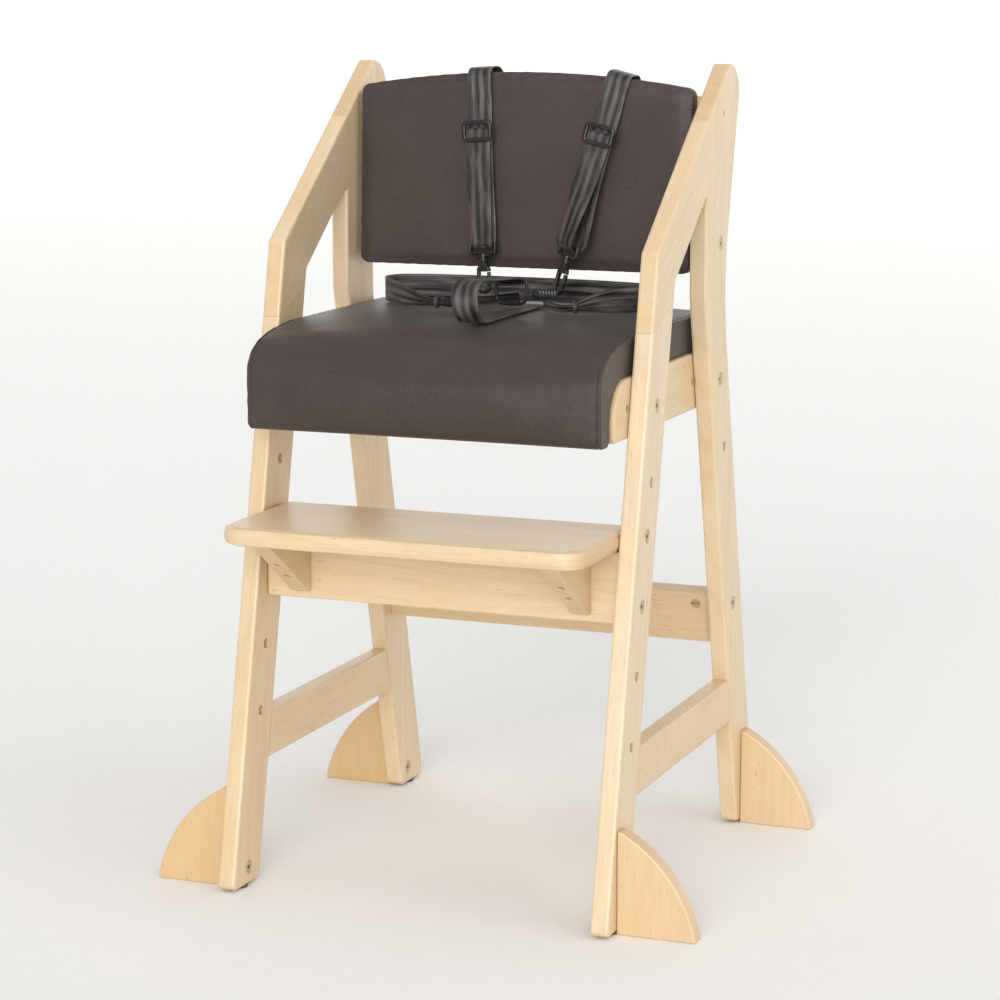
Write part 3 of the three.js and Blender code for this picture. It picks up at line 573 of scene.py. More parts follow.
def satin_webbing():
    """Polypropylene webbing, woven flat, with lengthwise ribs that the weft crosses every 1.2 mm
    (drawn coarser than the real 0.8 mm). Painted highlight lightens the base colour in three
    satin stripes along its length between the ribs, in fine streaks and in slow patches."""
    material, tree, shader = new_material("satin_webbing")
    shade = colours()
    place = node(tree, "SeparateXYZ", [("Vector", node(tree, "UVMap", uv_map="strap").outputs["UV"])])
    u, v = place.outputs["X"], place.outputs["Y"]
    ribs = calculate(tree, "SINE", calculate(tree, "MULTIPLY", u, TAU / (1.55 * MM)))
    slope = calculate(tree, "ADD", v, calculate(tree, "MULTIPLY", ribs, 0.25 * MM))
    weft = calculate(tree, "SINE", calculate(tree, "MULTIPLY", slope, TAU / (1.2 * MM)))
    # Painted highlight: three stripes across the width, streaks along the threads and slow patches, summed
    # into one mask, lighten the base colour as satin sheen would.
    stripe = calculate(tree, "SINE", calculate(tree, "MULTIPLY", u, TAU / (8.3 * MM)))
    threads = node(tree, "CombineXYZ", [("X", calculate(tree, "MULTIPLY", u, 1400.0)),
                                        ("Y", calculate(tree, "MULTIPLY", v, 45.0))])
    sheen_streak = node(
        tree, "TexNoise", [("Vector", threads.outputs["Vector"]), ("Scale", 1.0), ("Detail", 3.0)]
    ).outputs["Fac"]
    folds = node(tree, "CombineXYZ", [("X", calculate(tree, "MULTIPLY", u, 90.0)),
                                      ("Y", calculate(tree, "MULTIPLY", v, 22.0))])
    shimmer = node(
        tree, "TexNoise", [("Vector", folds.outputs["Vector"]), ("Scale", 1.0), ("Detail", 2.0)]
    ).outputs["Fac"]
    painted_sheen = calculate(tree, "ADD", calculate(tree, "MULTIPLY", stripe, 0.1),
                      calculate(tree, "MULTIPLY", sheen_streak, 0.45))
    painted_sheen = calculate(tree, "ADD", painted_sheen, calculate(tree, "MULTIPLY", shimmer, 0.8))
    # The colour of the painted highlight.
    light = blend_colours(tree, 0.85, shade.webbing, (0.17, 0.14, 0.13, 1.0))
    colour = blend_colours(tree, ramp(tree, painted_sheen, [(0.5, 0.0), (0.9, 1.0)]), shade.webbing, light)
    height = calculate(tree, "ADD", calculate(tree, "MULTIPLY", ribs, 0.5),
                       calculate(tree, "MULTIPLY", weft, 0.3))
    bump = node(tree, "Bump", [("Height", height), ("Strength", 0.5), ("Distance", 0.00025)])
    tree.links.new(colour, shader.inputs["Base Color"])
    tree.links.new(ramp(tree, painted_sheen, [(0.4, 0.5), (0.9, 0.3)]), shader.inputs["Roughness"])
    tree.links.new(bump.outputs["Normal"], shader.inputs["Normal"])
    shader.inputs["IOR"].default_value = 1.5
    shader.inputs["Specular IOR Level"].default_value = 0.45
    shader.inputs["Sheen Weight"].default_value = 0.08
    shader.inputs["Sheen Roughness"].default_value = 0.4
    return material


def moulded_acetal():
    """Black acetal, injection moulded in a polished tool: glossy, with faint flow marks and a few
    fine scuffs."""
    material, tree, shader = new_material("moulded_acetal")
    shade = colours()
    place = node(tree, "TexCoord").outputs["Object"]
    flow = node(tree, "TexNoise", [("Vector", place), ("Scale", 140.0), ("Detail", 4.0)]).outputs["Fac"]
    scuff = node(tree, "Mapping", [("Vector", place), ("Rotation", (0.3, 0.7, 0.5)),
                                   ("Scale", (220, 2600, 2600))])
    scuffs = node(
        tree, "TexNoise", [("Vector", scuff.outputs["Vector"]), ("Scale", 1.0), ("Detail", 2.0)]
    ).outputs["Fac"]
    marks = ramp(tree, scuffs, [(0.62, 0.0), (0.7, 1.0)])
    light = blend_colours(tree, 0.12, shade.moulded, (0.4, 0.38, 0.36, 1.0))
    colour = blend_colours(tree, calculate(tree, "MULTIPLY", flow, 0.5), shade.moulded, light)
    rough = calculate(tree, "ADD", calculate(tree, "MULTIPLY", flow, 0.1),
                      calculate(tree, "MULTIPLY", marks, 0.15))
    bump = node(tree, "Bump", [("Height", flow), ("Strength", 0.15), ("Distance", 0.0003)])
    tree.links.new(colour, shader.inputs["Base Color"])
    tree.links.new(calculate(tree, "ADD", rough, 0.14), shader.inputs["Roughness"])
    tree.links.new(bump.outputs["Normal"], shader.inputs["Normal"])
    shader.inputs["IOR"].default_value = 1.48
    return material


def passivated_zinc():
    """Steel, zinc plated and yellow passivated: warm silver with cloudy straw and green tints and
    a fine tumbled grain."""
    material, tree, shader = new_material("passivated_zinc")
    shade = colours()
    place = node(tree, "TexCoord").outputs["Object"]
    cloud = node(tree, "TexNoise", [("Vector", place), ("Scale", 420.0), ("Detail", 3.0)]).outputs["Fac"]
    grit = node(tree, "TexNoise", [("Vector", place), ("Scale", 3200.0), ("Detail", 2.0)]).outputs["Fac"]
    tint = ramp(tree, cloud, [(0.3, linear("#A9A890")), (0.5, shade.zinc), (0.72, linear("#D8BE7E"))])
    bump = node(tree, "Bump", [("Height", grit), ("Strength", 0.2), ("Distance", 0.0001)])
    tree.links.new(tint, shader.inputs["Base Color"])
    tree.links.new(ramp(tree, grit, [(0.3, 0.26), (0.75, 0.46)]), shader.inputs["Roughness"])
    tree.links.new(bump.outputs["Normal"], shader.inputs["Normal"])
    shader.inputs["Metallic"].default_value = 1.0
    return material


def pressed_felt():
    """Wool felt, pressed: matt, with matted fibres about 0.5 mm apart and a soft pale bloom."""
    material, tree, shader = new_material("pressed_felt")
    shade = colours()
    place = node(tree, "TexCoord").outputs["Object"]
    matted = node(
        tree, "TexNoise", [("Vector", place), ("Scale", 1800.0), ("Detail", 5.0), ("Distortion", 1.5)]
    ).outputs["Fac"]
    light = blend_colours(tree, 0.3, shade.felt, (0.3, 0.28, 0.26, 1.0))
    colour = blend_colours(tree, matted, shade.felt, light)
    bump = node(tree, "Bump", [("Height", matted), ("Strength", 0.9), ("Distance", 0.0006)])
    tree.links.new(colour, shader.inputs["Base Color"])
    tree.links.new(bump.outputs["Normal"], shader.inputs["Normal"])
    shader.inputs["Roughness"].default_value = 0.95
    shader.inputs["Sheen Weight"].default_value = 0.4
    return material


def studio_floor():
    """Matt painted studio floor: pale, with a barely visible roller texture."""
    material, tree, shader = new_material("studio_floor")
    place = node(tree, "TexCoord").outputs["Object"]
    roller = node(tree, "TexNoise", [("Vector", place), ("Scale", 60.0), ("Detail", 3.0)]).outputs["Fac"]
    paler = blend_colours(tree, 0.3, colours().floor, (1.0, 1.0, 1.0, 1.0))
    tree.links.new(blend_colours(tree, roller, colours().floor, paler), shader.inputs["Base Color"])
    shader.inputs["Roughness"].default_value = 0.9
    return material


def shared(maker):
    """The material that `maker` makes, made once."""
    name = maker.__name__
    return bpy.data.materials.get(name) or maker()


def finish_node(name, material):
    """Gives a carried-over node its finish in place of the plain one."""
    mesh = frame["nodes"][name].data
    mesh.materials.clear()
    mesh.materials.append(material)


# ---- Where things are -----------------------------------------------------------------------

def joint(name):
    """A joint's facts, by its name."""
    return next(j for j in frame["joints"] if j["name"] == name)


def box_mm(name):
    """The lowest and highest corner of a node, in millimetres."""
    low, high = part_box(name)
    return np.array(low) / MM, np.array(high) / MM


STRAP_TURN = {"left": 8, "right": 34}  # degrees that each strap turns below its slider
LOOP_HALF = {"left": 4.0, "right": 9.0}  # half the depth of the loop round the swivel eye
LAYER = 4.0  # from the middle of a strap's loop to either layer, at the slider
SLIDER_RISE = 112.0  # from the swivel eye to the slider, along the strap
TURN_RISE = 98.0  # the loop opens and turns from here down
HANG_RISE = 165.0  # the strap leaves the top of the pad here
STRAP_TILT = {"left": 1.5, "right": 5.0}  # degrees forward from the pad


def eye_place(side):
    """The frame of a swivel eye: Z up along the strap, Y backwards through the turned loop."""
    swivel, gate = joint(f"{side}_hook_swivel"), joint(f"{side}_gate_press")
    up, back = np.array(swivel["axis"]), np.array(gate["axis"])
    return Place(swivel["pos_m"], np.cross(back, up), back, up)


def hang_place(side):
    """The frame of the whole hanging strap, which its lower end is turned from."""
    return eye_place(side).turned(STRAP_TURN[side])


# ---- Cushions -------------------------------------------------------------------------------

def rounded_outline(corners, count):
    """A closed outline through corners (a, b, radius), each rounded by an arc that touches both
    its sides, spread into `count` even points."""
    corners = np.asarray(corners, float)
    points = []
    for k, (a, b, radius) in enumerate(corners):
        here = np.array([a, b])
        before = corners[k - 1, :2] - here
        after = corners[(k + 1) % len(corners), :2] - here
        before, after = before / np.linalg.norm(before), after / np.linalg.norm(after)
        half = math.acos(np.clip(before @ after, -1, 1)) / 2
        middle = here + (before + after) / np.linalg.norm(before + after) * radius / math.sin(half)
        start = here + before * radius / math.tan(half) - middle
        end = here + after * radius / math.tan(half) - middle
        first, last = math.atan2(start[1], start[0]), math.atan2(end[1], end[0])
        sweep = (last - first + math.pi) % TAU - math.pi
        points.append(middle + radius * np.stack([
            np.cos(first + sweep * np.linspace(0, 1, 12)), np.sin(first + sweep * np.linspace(0, 1, 12))
        ], -1))
    loop = np.concatenate(points)
    loop = np.vstack([loop, loop[:1]])
    return resample(loop, loop, count + 1)[:-1]


def outward_normals(outline):
    """Unit normals of a closed outline that runs anticlockwise."""
    ahead = closed_tangents(outline)
    return np.stack([ahead[:, 1], -ahead[:, 0]], -1)


SEAM_SPAN = np.array([-1.2, -0.8, -0.4, 0.0, 0.4, 0.8, 1.2, 2.0])  # rows across one seam, mm


def cushion_rows(thickness, ease, seam, rings, wall):
    """The rows of a cushion between two panels: a row is the outline, scaled towards a pole on a
    panel and moved through the thickness on the wall. Panel and wall meet in a quarter circle of
    radius `ease`, and on the wall a seam lies `seam` from the panel.

    Returns the rows (inset, share of the outline, place in the thickness), one per row.
    """
    half = thickness / 2
    quarter = np.linspace(0, math.pi / 2, 6)[:-1]
    panel = [(ease, share, -half) for share in 1 - np.linspace(1, 0, rings) ** 1.6 * 0.985]
    edge = [(ease * (1 - math.sin(q)), 1.0, -half + ease * (1 - math.cos(q))) for q in quarter[1:]]
    near = -half + seam + SEAM_SPAN
    between = np.linspace(near[-1], -near[-1], wall + 2)[1:-1]
    walls = [(0.0, 1.0, t) for t in np.concatenate([near, between, -near[::-1]])]
    far = [(inset, share, -t) for inset, share, t in (panel + edge)[::-1]]
    return np.array(panel + edge + walls + far)


def cushion_grid(outline, pole, rows):
    """Points (m, n, 3) of a cushion in (a, b, thickness): pole + share * (outline - inset * its
    normal - pole), at the row's place in the thickness."""
    normals = outward_normals(outline)
    inset, share, through = rows[:, 0, None, None], rows[:, 1, None, None], rows[:, 2]
    flat = pole + share * (outline[None] - inset * normals[None] - pole)
    return np.concatenate([flat, np.broadcast_to(through[:, None, None], flat.shape[:2] + (1,))], -1)


def vertex_normals(grid):
    """Unit normals of a grid whose rows are closed, from its central differences."""
    along = np.gradient(grid, axis=0)
    around = np.roll(grid, -1, 1) - np.roll(grid, 1, 1)
    normal = np.cross(along, around)
    return normal / np.maximum(np.linalg.norm(normal, axis=-1, keepdims=True), 1e-9)


def read_back(spots, moves, wanted, near=6, block=1000):
    """The moves at the wanted points: the mean of the moves at the `near` nearest spots, each
    weighted by 1 / (its squared distance in mm + 1). Blocks keep the table of distances small."""
    found = []
    for start in range(0, len(wanted), block):
        part = wanted[start:start + block].astype(np.float32)
        squared = (part**2).sum(1)[:, None] + (spots**2).sum(1)[None, :] - 2 * part @ spots.T
        index = np.argpartition(squared, near, axis=1)[:, :near]
        weight = 1 / (np.maximum(np.take_along_axis(squared, index, 1), 0) + 1.0)
        found.append((moves[index] * weight[..., None]).sum(1) / weight.sum(1)[:, None])
    return np.concatenate(found)


def swell(grid, held, cap, pressure=4.0, voxel=5.0, frames=20):
    """How far each point of a cushion moves when it is filled: its closed shape is remeshed, filled
    as cloth under even pressure with no weight, and the moves are read back at the grid's points.

    `held` gives the share of each point (in the grid's millimetres) that the base holds. The moves
    are scaled so that the 90th percentile of those that are free equals `cap`, cut off there, and
    evened out over neighbouring points.
    """
    points, quads, fans, _, _ = faced_out(shell(grid * MM))
    mesh = bpy.data.meshes.new("filling")
    mesh.from_pydata(points.tolist(), [], quads.tolist() + fans.tolist())
    filling = bpy.data.objects.new("filling", mesh)
    scene = bpy.context.scene
    scene.collection.objects.link(filling)
    remesh = filling.modifiers.new("remesh", "REMESH")
    remesh.mode = "VOXEL"
    remesh.voxel_size = voxel * MM
    graph = bpy.context.evaluated_depsgraph_get()
    coarse = bpy.data.meshes.new_from_object(filling.evaluated_get(graph))
    filling.modifiers.clear()
    filling.data = coarse
    rest = np.empty(len(coarse.vertices) * 3, np.float32)
    coarse.vertices.foreach_get("co", rest)
    rest = rest.reshape(-1, 3) / MM
    group = filling.vertex_groups.new(name="held")
    share = held(rest)
    for step in range(1, 21):
        chosen = np.nonzero(np.round(share * 20) == step)[0].tolist()
        if chosen:
            group.add(chosen, step / 20, "REPLACE")
    cloth = filling.modifiers.new("cloth", "CLOTH")
    settings = cloth.settings
    settings.quality = 6
    settings.mass = 0.3
    settings.tension_stiffness = settings.compression_stiffness = 20
    settings.shear_stiffness = 8
    settings.bending_stiffness = 1.2
    settings.use_pressure = True
    settings.uniform_pressure_force = pressure
    settings.vertex_group_mass = "held"
    settings.effector_weights.gravity = 0
    cloth.point_cache.frame_start = 1
    cloth.point_cache.frame_end = frames
    for number in range(1, frames + 1):
        scene.frame_set(number)
    graph = bpy.context.evaluated_depsgraph_get()
    filled = filling.evaluated_get(graph).to_mesh()
    moved = np.empty(len(filled.vertices) * 3, np.float32)
    filled.vertices.foreach_get("co", moved)
    moves = moved.reshape(-1, 3) / MM - rest
    filling.evaluated_get(graph).to_mesh_clear()
    result = read_back(rest, moves, grid.reshape(-1, 3))
    bpy.data.objects.remove(filling)
    scene.frame_set(1)
    size = np.linalg.norm(result, axis=-1)
    free = size[size > 0.2 * np.median(size)]
    result *= (cap / np.percentile(free, 90) / np.maximum(size / np.percentile(free, 90), 1))[:, None]
    result = result.reshape(grid.shape)
    for _ in range(6):
        around = (np.roll(result, 1, 1) + np.roll(result, -1, 1)) / 2
        along = result.copy()
        along[1:-1] = (result[2:] + result[:-2]) / 2
        result = result / 2 + (around + along) / 4
    return result


def wander(along, across, seed):
    """A slow, smooth, repeatable waver between -1 and 1: a few sines with fixed odd ratios."""
    return (
        np.sin(along + seed) * 0.5
        + np.sin(1.7 * along - 0.6 * across + 2.1 * seed) * 0.3
        + np.sin(0.45 * along + 1.9 * across + 0.7 * seed) * 0.2
    )


GROOVE_HALF = 0.75  # half the width of a seam's groove, mm
PUCKER_PITCH = 17  # from one pucker to the next, mm
PUCKER_DRIFT = 61  # the puckers change slowly over this length, mm
PUCKER_FADE = 6.0  # a pucker dies away from its seam over this length, mm
PUCKER_START = 1.5  # and rises from the seam over this length, mm
PANEL_SPAN = 90  # roughly how far a panel's pole lies from its edge, mm
PUCKER_PEAK = 1.4  # makes a pucker as high as its setting where it is highest


def seams_and_puckers(grid, rows, thickness, seam, spacing):
    """Moves along the normal that sew a cushion: a groove where the seam lies, exp(-(d / half)^2)
    deep at a distance d from it, and puckers beside it that die out as exp(-d / fade)."""
    normal = vertex_normals(grid)
    if (normal * (grid - grid.mean((0, 1)))).sum() < 0:
        normal = -normal
    half = thickness / 2
    through = rows[:, 2]
    on_wall = (rows[:, 1] > 0.999) & (np.abs(through) < half - 0.01)
    from_seam = np.abs(np.abs(through) - (half - seam))
    groove = np.where(on_wall, np.exp(-((from_seam / GROOVE_HALF) ** 2)), 0) * sizes().seam_depth / MM
    side = np.where(on_wall, from_seam, (1 - rows[:, 1]) * PANEL_SPAN + seam)
    fade = np.exp(-side / PUCKER_FADE) - np.exp(-side / PUCKER_START)
    along = np.arange(grid.shape[1]) * spacing * TAU
    pucker = wander(along / PUCKER_PITCH, along / PUCKER_DRIFT, 0.4)[None, :] * fade[:, None]
    lift = pucker * sizes().pucker / MM * PUCKER_PEAK - groove[:, None]
    return normal * lift[..., None]


def make_cushion(name, grid, place, body, node_name):
    piece = build(name, [shell(in_plane(grid, place))], body, shared(embossed_leatherette))
    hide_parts(node_name)
    return piece


def seat_cushion():
    """The seat pad: one section, flat on the rails and rolled down over their front ends, carried
    across the chair between two side panels."""
    low, high = box_mm("seat_pad")
    rail_low, rail_high = box_mm("left_seat_rail")
    rest = rail_high[2] + 0.3
    inner_front = rail_low[1] - 0.6
    slack = 2.2  # the pad starts this much thinner and swells to its full size
    proud = 1.7  # its nose stands this far in front of the CAD pad before it swells
    front, top = low[1] - proud, high[2] - slack
    corners = [
        (front + 1.0, low[2] + 0.5, 9),
        (inner_front, low[2] + 0.5, 6),
        (inner_front, rest, 38.5),
        (high[1], rest, 3),
        (high[1], top, 11),
        (front + 95, top, 150),
        (front + 50, top - 4.5, 100),
        (front + 22, top - 11.5, 60),
        (front, top - 27.0, 30),
    ]
    count = 330
    outline = rounded_outline(corners, count)
    spacing = distance_along(outline)[-1] / count
    pole = np.array([inner_front - 5, rest + 12])
    thickness = high[0] - low[0] + 4.0
    seam, ease = 3.9, 2.6
    rows = cushion_rows(thickness, ease, seam, 22, 56)
    grid = cushion_grid(outline, pole, rows)
    underneath = (outline[:, 1] < rest + 1.0) & (outline[:, 0] > inner_front - 1.0)
    crown = sizes().seat_crown / MM

    def held(spots):
        base = (spots[:, 1] < rest + 3) & (spots[:, 0] > inner_front - 3)
        sewn = np.exp(-(((thickness / 2 - seam - np.abs(spots[:, 2])) / 4.0) ** 2)) * 0.8
        return np.clip(np.where(base, 1.0, sewn), 0, 1)

    moves = swell(grid, held, crown)
    free = smoothstep(np.where(underneath, 0.0, np.hypot(
        np.maximum(inner_front - outline[:, 0], 0), np.maximum(outline[:, 1] - rest, 0))), 0.0, 12.0)
    moves = moves * free[None, :, None]
    moves += seams_and_puckers(grid, rows, thickness, seam, spacing)
    grid = grid + moves
    # Underneath, the pad is hollowed for the board that it is stapled to.
    board_low, board_high = box_mm("seat_board")
    inside = (
        smoothstep(grid[..., 0], board_low[1] - 1.0, board_low[1] - 0.4)
        * (1 - smoothstep(grid[..., 0], board_high[1] + 0.4, board_high[1] + 1.0))
        * (1 - smoothstep(np.abs(grid[..., 2]), board_high[0] + 0.4, board_high[0] + 1.0))
    )
    raised = np.where(underneath[None, :], board_high[2] - rest + 0.4, 0) * inside
    grid[..., 1] += raised
    place = Place((0, 0, 0), (0, 1, 0), (0, 0, 1), (1, 0, 0))
    return make_cushion("seat_cushion", grid, place, "chair", "seat_pad")


def backrest_cushion():
    """The backrest pad: a rounded panel with an arched top, 16 mm deep at its sewn edge and
    crowned towards its middle, its flat back against the board."""
    low, high = box_mm("backrest_pad")
    board_low, _ = box_mm("backrest_board")
    lean = math.radians(2.2)
    depth = 16.0
    arch = 15.5  # how far the top drops from its middle to its corners
    width = (high[0] - low[0]) / 2
    tall = (high[2] - low[2]) / math.cos(lean)
    top = np.linspace(width, -width, 13)[1:-1]
    corners = [(-width, 0.4, 8), (width, 0.4, 8), (width, tall - arch, 9)]
    corners += [(x, tall - 1.0 - (arch - 1.0) * (x / width) ** 2, 60) for x in top]
    corners += [(-width, tall - arch, 9)]
    count = 420
    outline = rounded_outline(corners, count)
    spacing = distance_along(outline)[-1] / count
    pole = np.array([0.0, tall * 0.48])
    seam, ease = 2.9, 1.6
    rows = cushion_rows(depth, ease, seam, 40, 6)
    grid = cushion_grid(outline, pole, rows)
    crown = sizes().back_crown / MM

    def held(spots):
        from_edge = np.abs(spots[:, 2] + depth / 2 - seam)
        sewn = np.exp(-((from_edge / 6.0) ** 2)) * 0.9
        return np.clip(np.where(spots[:, 2] > depth / 2 - 4, 1.0, sewn), 0, 1)

    moves = swell(grid, held, crown, voxel=4.5)
    moves *= (1 - smoothstep(rows[:, 2], -2.0, depth / 2 - 2.0))[:, None, None]
    moves[..., :2] = 0
    moves += seams_and_puckers(grid, rows, depth, seam, spacing) * (rows[:, 2] < 3.0)[:, None, None]
    grid = grid + moves
    foot = board_low[1] - 7 * math.sin(lean)
    through = -0.3 - depth / 2
    up = np.array([0, math.sin(lean), math.cos(lean)])
    back = np.array([0, math.cos(lean), -math.sin(lean)])
    origin = np.array([0, foot, low[2]]) * MM + back * through * MM
    place = Place(origin, (1, 0, 0), up, back)
    return make_cushion("backrest_cushion", grid, place, "chair", "backrest_pad")


# ---- Webbing --------------------------------------------------------------------------------

def web_section(width, thickness, ribs=0.06):
    """The section of woven webbing: flat, with three low lengthwise waves and round selvedges.
    Top and bottom follow the same wave, half the thickness above and below it."""
    u = np.linspace(-width / 2 + thickness / 2, width / 2 - thickness / 2, 25)
    wave = ribs * np.cos(TAU * u / (width / 3))
    turn = np.linspace(-math.pi / 2, math.pi / 2, 6)[1:-1]
    right = np.stack([u[-1] + thickness / 2 * np.cos(turn), wave[-1] + thickness / 2 * np.sin(turn)], -1)
    left = np.stack([u[0] - thickness / 2 * np.cos(turn), wave[0] - thickness / 2 * np.sin(turn)], -1)
    bottom = np.stack([u, wave - thickness / 2], -1)
    top = np.stack([u, wave + thickness / 2], -1)[::-1]
    return np.concatenate([bottom, right, top, left])


def webbing(path, side, width, thickness, scale=None, ribs=0.06):
    """A shell of webbing along a path in the room's millimetres: the section's width lies along
    `side`, its thickness along the cross product of the way ahead and `side`."""
    ahead = open_tangents(path)
    side = side - (side * ahead).sum(-1, keepdims=True) * ahead
    side = side / np.linalg.norm(side, axis=-1, keepdims=True)
    up = np.cross(ahead, side)
    section = web_section(width, thickness, ribs)
    rows = carry(section, path, side, up, scale)
    across = np.append(section[:, 0], section[0, 0]) * MM
    return rows, across, distance_along(path) * MM


def opening(side, rise):
    """Half the depth of a strap's loop at a height above its eye."""
    share = 1 - smoothstep(rise, 0.0, TURN_RISE)
    return LAYER + (LOOP_HALF[side] - LAYER) * share


def turned_with_loop(side, points, sides):
    """Turns local points and side directions about Z, more and more towards the eye."""
    share = 1 - smoothstep(points[:, 2], 0.0, TURN_RISE)
    share = np.where(points[:, 2] < 0, 1.0, share)
    turn = np.radians(-STRAP_TURN[side]) * share
    c, s = np.cos(turn), np.sin(turn)

    def about_z(v):
        return np.stack([v[:, 0] * c - v[:, 1] * s, v[:, 0] * s + v[:, 1] * c, v[:, 2]], -1)

    return about_z(points), about_z(sides)


def place_web(side, points, sides):
    """Local points and directions of a hanging strap, in the room's millimetres."""
    place = hang_place(side)
    return place(points) / MM, sides @ place.axes


def shoulder_strap(side):
    """One shoulder strap: from behind the backrest over its top, down the front of the pad behind
    the slider, and round the bar of the swivel eye. A second piece comes back up from there and
    wraps the slider's middle bar."""
    width, thickness = sizes().web_width / MM, sizes().web / MM
    place = hang_place(side)
    tilt = math.radians(STRAP_TILT[side])
    x, y, z = place.axes
    back = y * math.cos(tilt) + z * math.sin(tilt)
    up = z * math.cos(tilt) - y * math.sin(tilt)
    pivot = place([0, LAYER, HANG_RISE]) / MM
    # Over the top: (depth behind the strap's front run, rise above where it leaves the pad).
    over = curve_through([
        (42.6, -66), (42.3, -40), (41.5, -14), (37.5, 2.6), (28, 9.4), (16, 10.2), (6.2, 8.6),
        (1.6, 3.4), (0.4, -3), (0.1, -9),
    ], 60)
    over_room = pivot + over[:, :1] * back + over[:, 1:] * up
    over_side = np.tile(x, (len(over), 1))
    rise = np.linspace(HANG_RISE - 16, 6, 60)
    sway = 0.8 * np.sin(rise / 23.0 + (1 if side == "left" else 2))
    down = np.stack([0.5 * sway, opening(side, rise) + 0.35 * sway * smoothstep(rise, 0, 60), rise], -1)
    depth = LOOP_HALF[side]
    lift = depth - LAYER + 0.6
    round_bar = arc((0, lift), depth, 0, -150, 22)
    hook = np.stack([np.zeros(22), round_bar[:, 0], round_bar[:, 1]], -1)
    local = np.concatenate([down, hook])
    local, sides = turned_with_loop(side, local, np.tile([1.0, 0.0, 0.0], (len(local), 1)))
    room, room_side = place_web(side, local, sides)
    path = np.concatenate([over_room, room])
    sides = np.concatenate([over_side, room_side])
    both = resample(np.hstack([path, sides]), path, 190)
    rows, across, along = webbing(both[:, :3], both[:, 3:], width, thickness)
    strap = build(f"{side}_strap", [shell(rows * MM, across=across, along=along)],
                  "chair", shared(satin_webbing))
    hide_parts(f"{side}_shoulder_strap")

    start = arc((0, lift), depth, -148, -180, 6)
    climb = np.linspace(lift + 3, SLIDER_RISE - 1, 50)
    ahead = np.stack([-opening(side, climb), climb], -1)
    wrap = arc((-2.0, SLIDER_RISE + 0.4), 2.0, 180, 0, 12)
    tail = np.array([(0.2, SLIDER_RISE - 3), (0.9, SLIDER_RISE - 9), (1.6, SLIDER_RISE - 15)])
    plan = np.concatenate([start, ahead, wrap, tail])
    local = np.stack([np.zeros(len(plan)), plan[:, 0], plan[:, 1]], -1)
    local, sides = turned_with_loop(side, local, np.tile([1.0, 0.0, 0.0], (len(local), 1)))
    room, room_side = place_web(side, local, sides)
    both = resample(np.hstack([room, room_side]), room, 110)
    rows, across, along = webbing(both[:, :3], both[:, 3:], width, thickness)
    back_run = build(f"{side}_strap_return", [shell(rows * MM, across=across, along=along)],
                     None, shared(satin_webbing))
    tuple(place([0, 0, 4]))
    tuple(place([0, 0, SLIDER_RISE - 12]))
    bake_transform(back_run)


def waist_belt():
    """The waist belt: it stands on its edge under the backrest, folds forward at both sides, and
    each free end is gathered by an elastic tie before it reaches the ring."""
    _, seat = box_mm("seat_pad")
    rest = seat[2] + 3.0
    width, thickness = 24.0, sizes().web / MM
    # x, y, rise of the middle above the seat, width share, lean of the top towards +Y (degrees),
    # crumple height.
    stations = [
        (20, 22, 13, 0.62, -20, 1.6), (-6, 16, 10, 0.5, -10, 2.0), (-38, 6, 8, 0.4, 15, 2.2),
        (-60, 4, 7.5, 0.3, 20, 1.8), (-74, 6, 8, 0.42, 15, 2.0), (-96, 16, 10, 0.75, 10, 1.2),
        (-118, 34, 12, 0.96, 4, 0.5), (-134, 52, 12.5, 1.0, 0, 0.2), (-142, 66, 12.5, 1.0, 0, 0.1),
        (-141, 78, 12.5, 1.0, 0, 0.1), (-130, 86, 13, 1.0, 4, 0.2), (-100, 91, 13.5, 1.0, 6, 0.3),
        (-50, 94, 13.5, 1.0, 8, 0.4), (0, 95, 13.5, 1.0, 8, 0.5), (50, 94, 13.5, 1.0, 8, 0.4),
        (100, 91, 13, 1.0, 6, 0.3), (132, 87, 12.5, 1.0, 3, 0.2), (145, 77, 12.5, 1.0, 0, 0.1),
        (143, 64, 12.5, 1.0, 0, 0.1), (130, 50, 12.5, 1.0, -4, 0.4), (110, 32, 12, 0.95, -8, 0.8),
        (92, 20, 9.5, 0.65, -12, 1.6), (80, 15, 7, 0.34, -15, 1.8), (68, 10, 6.5, 0.5, -30, 2.0),
        (56, 8, 8, 0.6, -30, 1.6), (50, 9, 9.5, 0.6, -20, 1.2),
    ]
    s = curve_through(stations, 520)
    path = np.stack([s[:, 0], s[:, 1], rest + s[:, 2]], -1)
    lean = np.radians(s[:, 4])
    side = np.stack([np.zeros(len(s)), np.sin(lean), np.cos(lean)], -1)
    rows, across, along = webbing(path, side, width, thickness, np.stack(
        [s[:, 3], np.ones(len(s))], -1), ribs=0.1)
